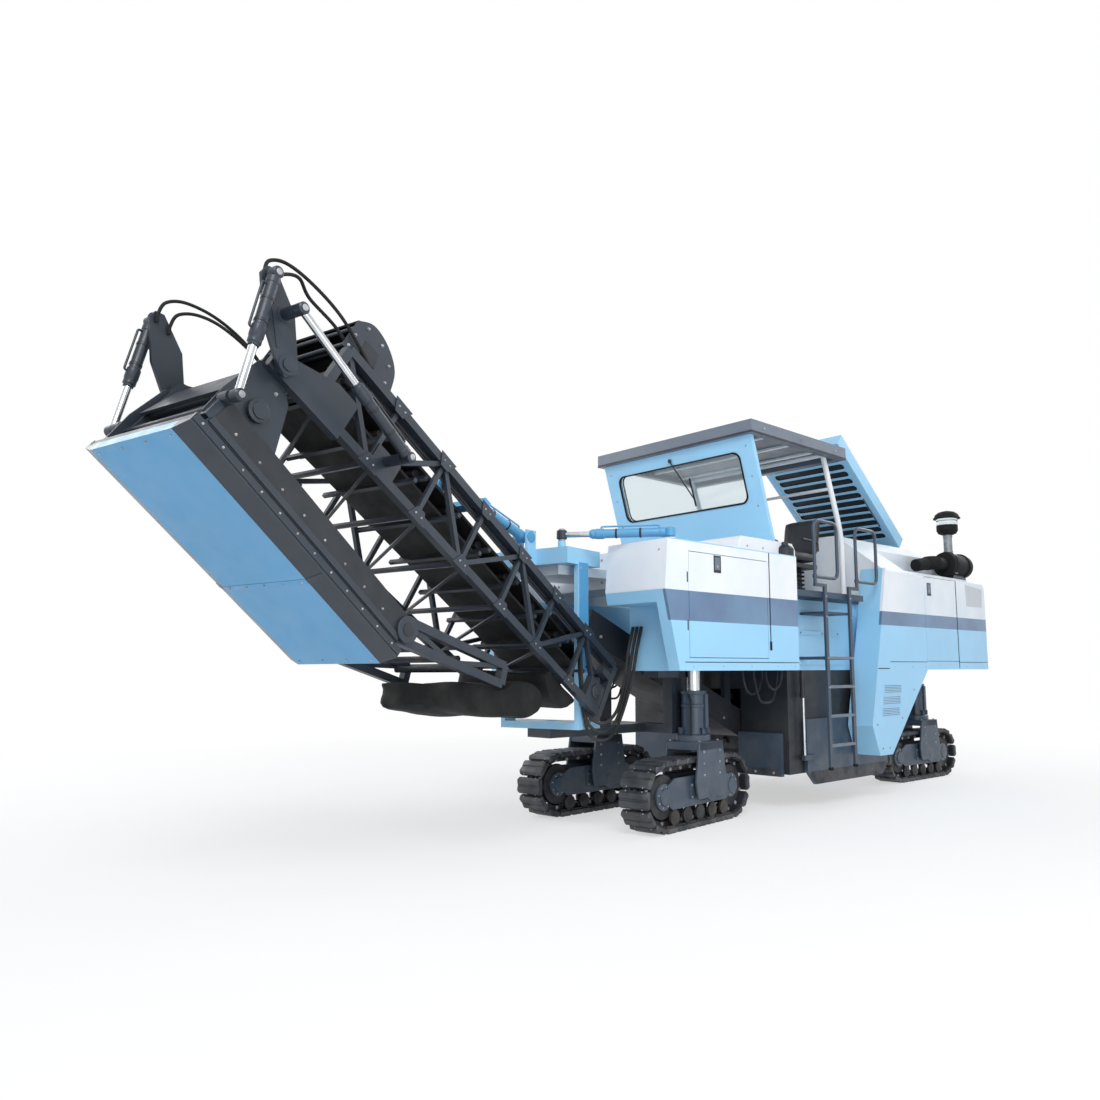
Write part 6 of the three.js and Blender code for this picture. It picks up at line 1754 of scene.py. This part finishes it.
# ---------------------------------------------------------------- floor, light and backdrop
def stage_finish():
    """Pale floor that fades to the white backdrop and keeps the object's shadow."""
    s = Shader("studio_floor")
    s.colour(s.mix(s.noise(0.8, 2.0), srgb(246, 247, 248), srgb(240, 241, 243)))
    s.surface.inputs["Roughness"].default_value = 0.9
    white = s.node("ShaderNodeEmission")
    far = s.node("ShaderNodeVectorMath", operation="LENGTH")
    s.link(s.place, far.inputs[0])
    fade = s.remap(far.outputs["Value"], 4.0, 12.0, 0.55, 1.0)
    s.link(s.math("MULTIPLY", fade, seen_rays(s.tree)), s.node_mix(white))
    return s.material


def seen_rays(tree):
    """1 on rays that show the backdrop: to the camera, in metal and through glass."""
    rays = tree.nodes.new("ShaderNodeLightPath")
    seen = rays.outputs["Is Camera Ray"]
    for name in ("Is Glossy Ray", "Is Transmission Ray"):
        most = tree.nodes.new("ShaderNodeMath")
        most.operation = "MAXIMUM"
        tree.links.new(seen, most.inputs[0])
        tree.links.new(rays.outputs[name], most.inputs[1])
        seen = most.outputs["Value"]
    return seen


def studio():
    """Floor, backdrop light and four soft lamps."""
    mesh = bpy.data.meshes.new("floor")
    size = 60
    mesh.from_pydata([(x, y, 0) for x, y in oblong(-size, -size, size, size)], [], [(0, 1, 2, 3)])
    mesh.materials.append(stage_finish())
    floor = stand("floor", mesh)
    floor.location.z = CAD_BOX[0][2] - 0.001
    world = bpy.data.worlds.new("studio")
    bpy.context.scene.world = world
    world.use_nodes = True
    tree = world.node_tree
    lit = tree.nodes["Background"]
    lit.inputs["Color"].default_value = (0.93, 0.96, 1.0, 1.0)
    lit.inputs["Strength"].default_value = 0.5
    seen = tree.nodes.new("ShaderNodeBackground")
    seen.inputs["Color"].default_value = (1.0, 1.0, 1.0, 1.0)
    seen.inputs["Strength"].default_value = 1.0
    blend = tree.nodes.new("ShaderNodeMixShader")
    tree.links.new(seen_rays(tree), blend.inputs["Fac"])
    tree.links.new(lit.outputs["Background"], blend.inputs[1])
    tree.links.new(seen.outputs["Background"], blend.inputs[2])
    tree.links.new(blend.outputs["Shader"], tree.nodes["World Output"].inputs["Surface"])

    lamps = (
        ("key", (9, -9, 11), (0, 1, 1.5), 7.0, 1150),
        ("fill", (-12, -6, 7), (0, 0, 1.5), 9.0, 500),
        ("back", (3, 14, 10), (0, 2, 1.5), 8.0, 600),
        ("low", (8, -3, 2.2), (0, 1, 1.2), 5.0, 130),
    )
    for name, spot, target, width, power in lamps:
        data = bpy.data.lights.new(name, "AREA")
        data.shape = "DISK"
        data.size = width
        data.energy = power
        lamp = stand(name, data)
        lamp.location = spot
        lamp.rotation_euler = (Vector(target) - Vector(spot)).to_track_quat("-Z", "Y").to_euler()


studio()
bpy.context.scene.view_settings.view_transform = "Standard"
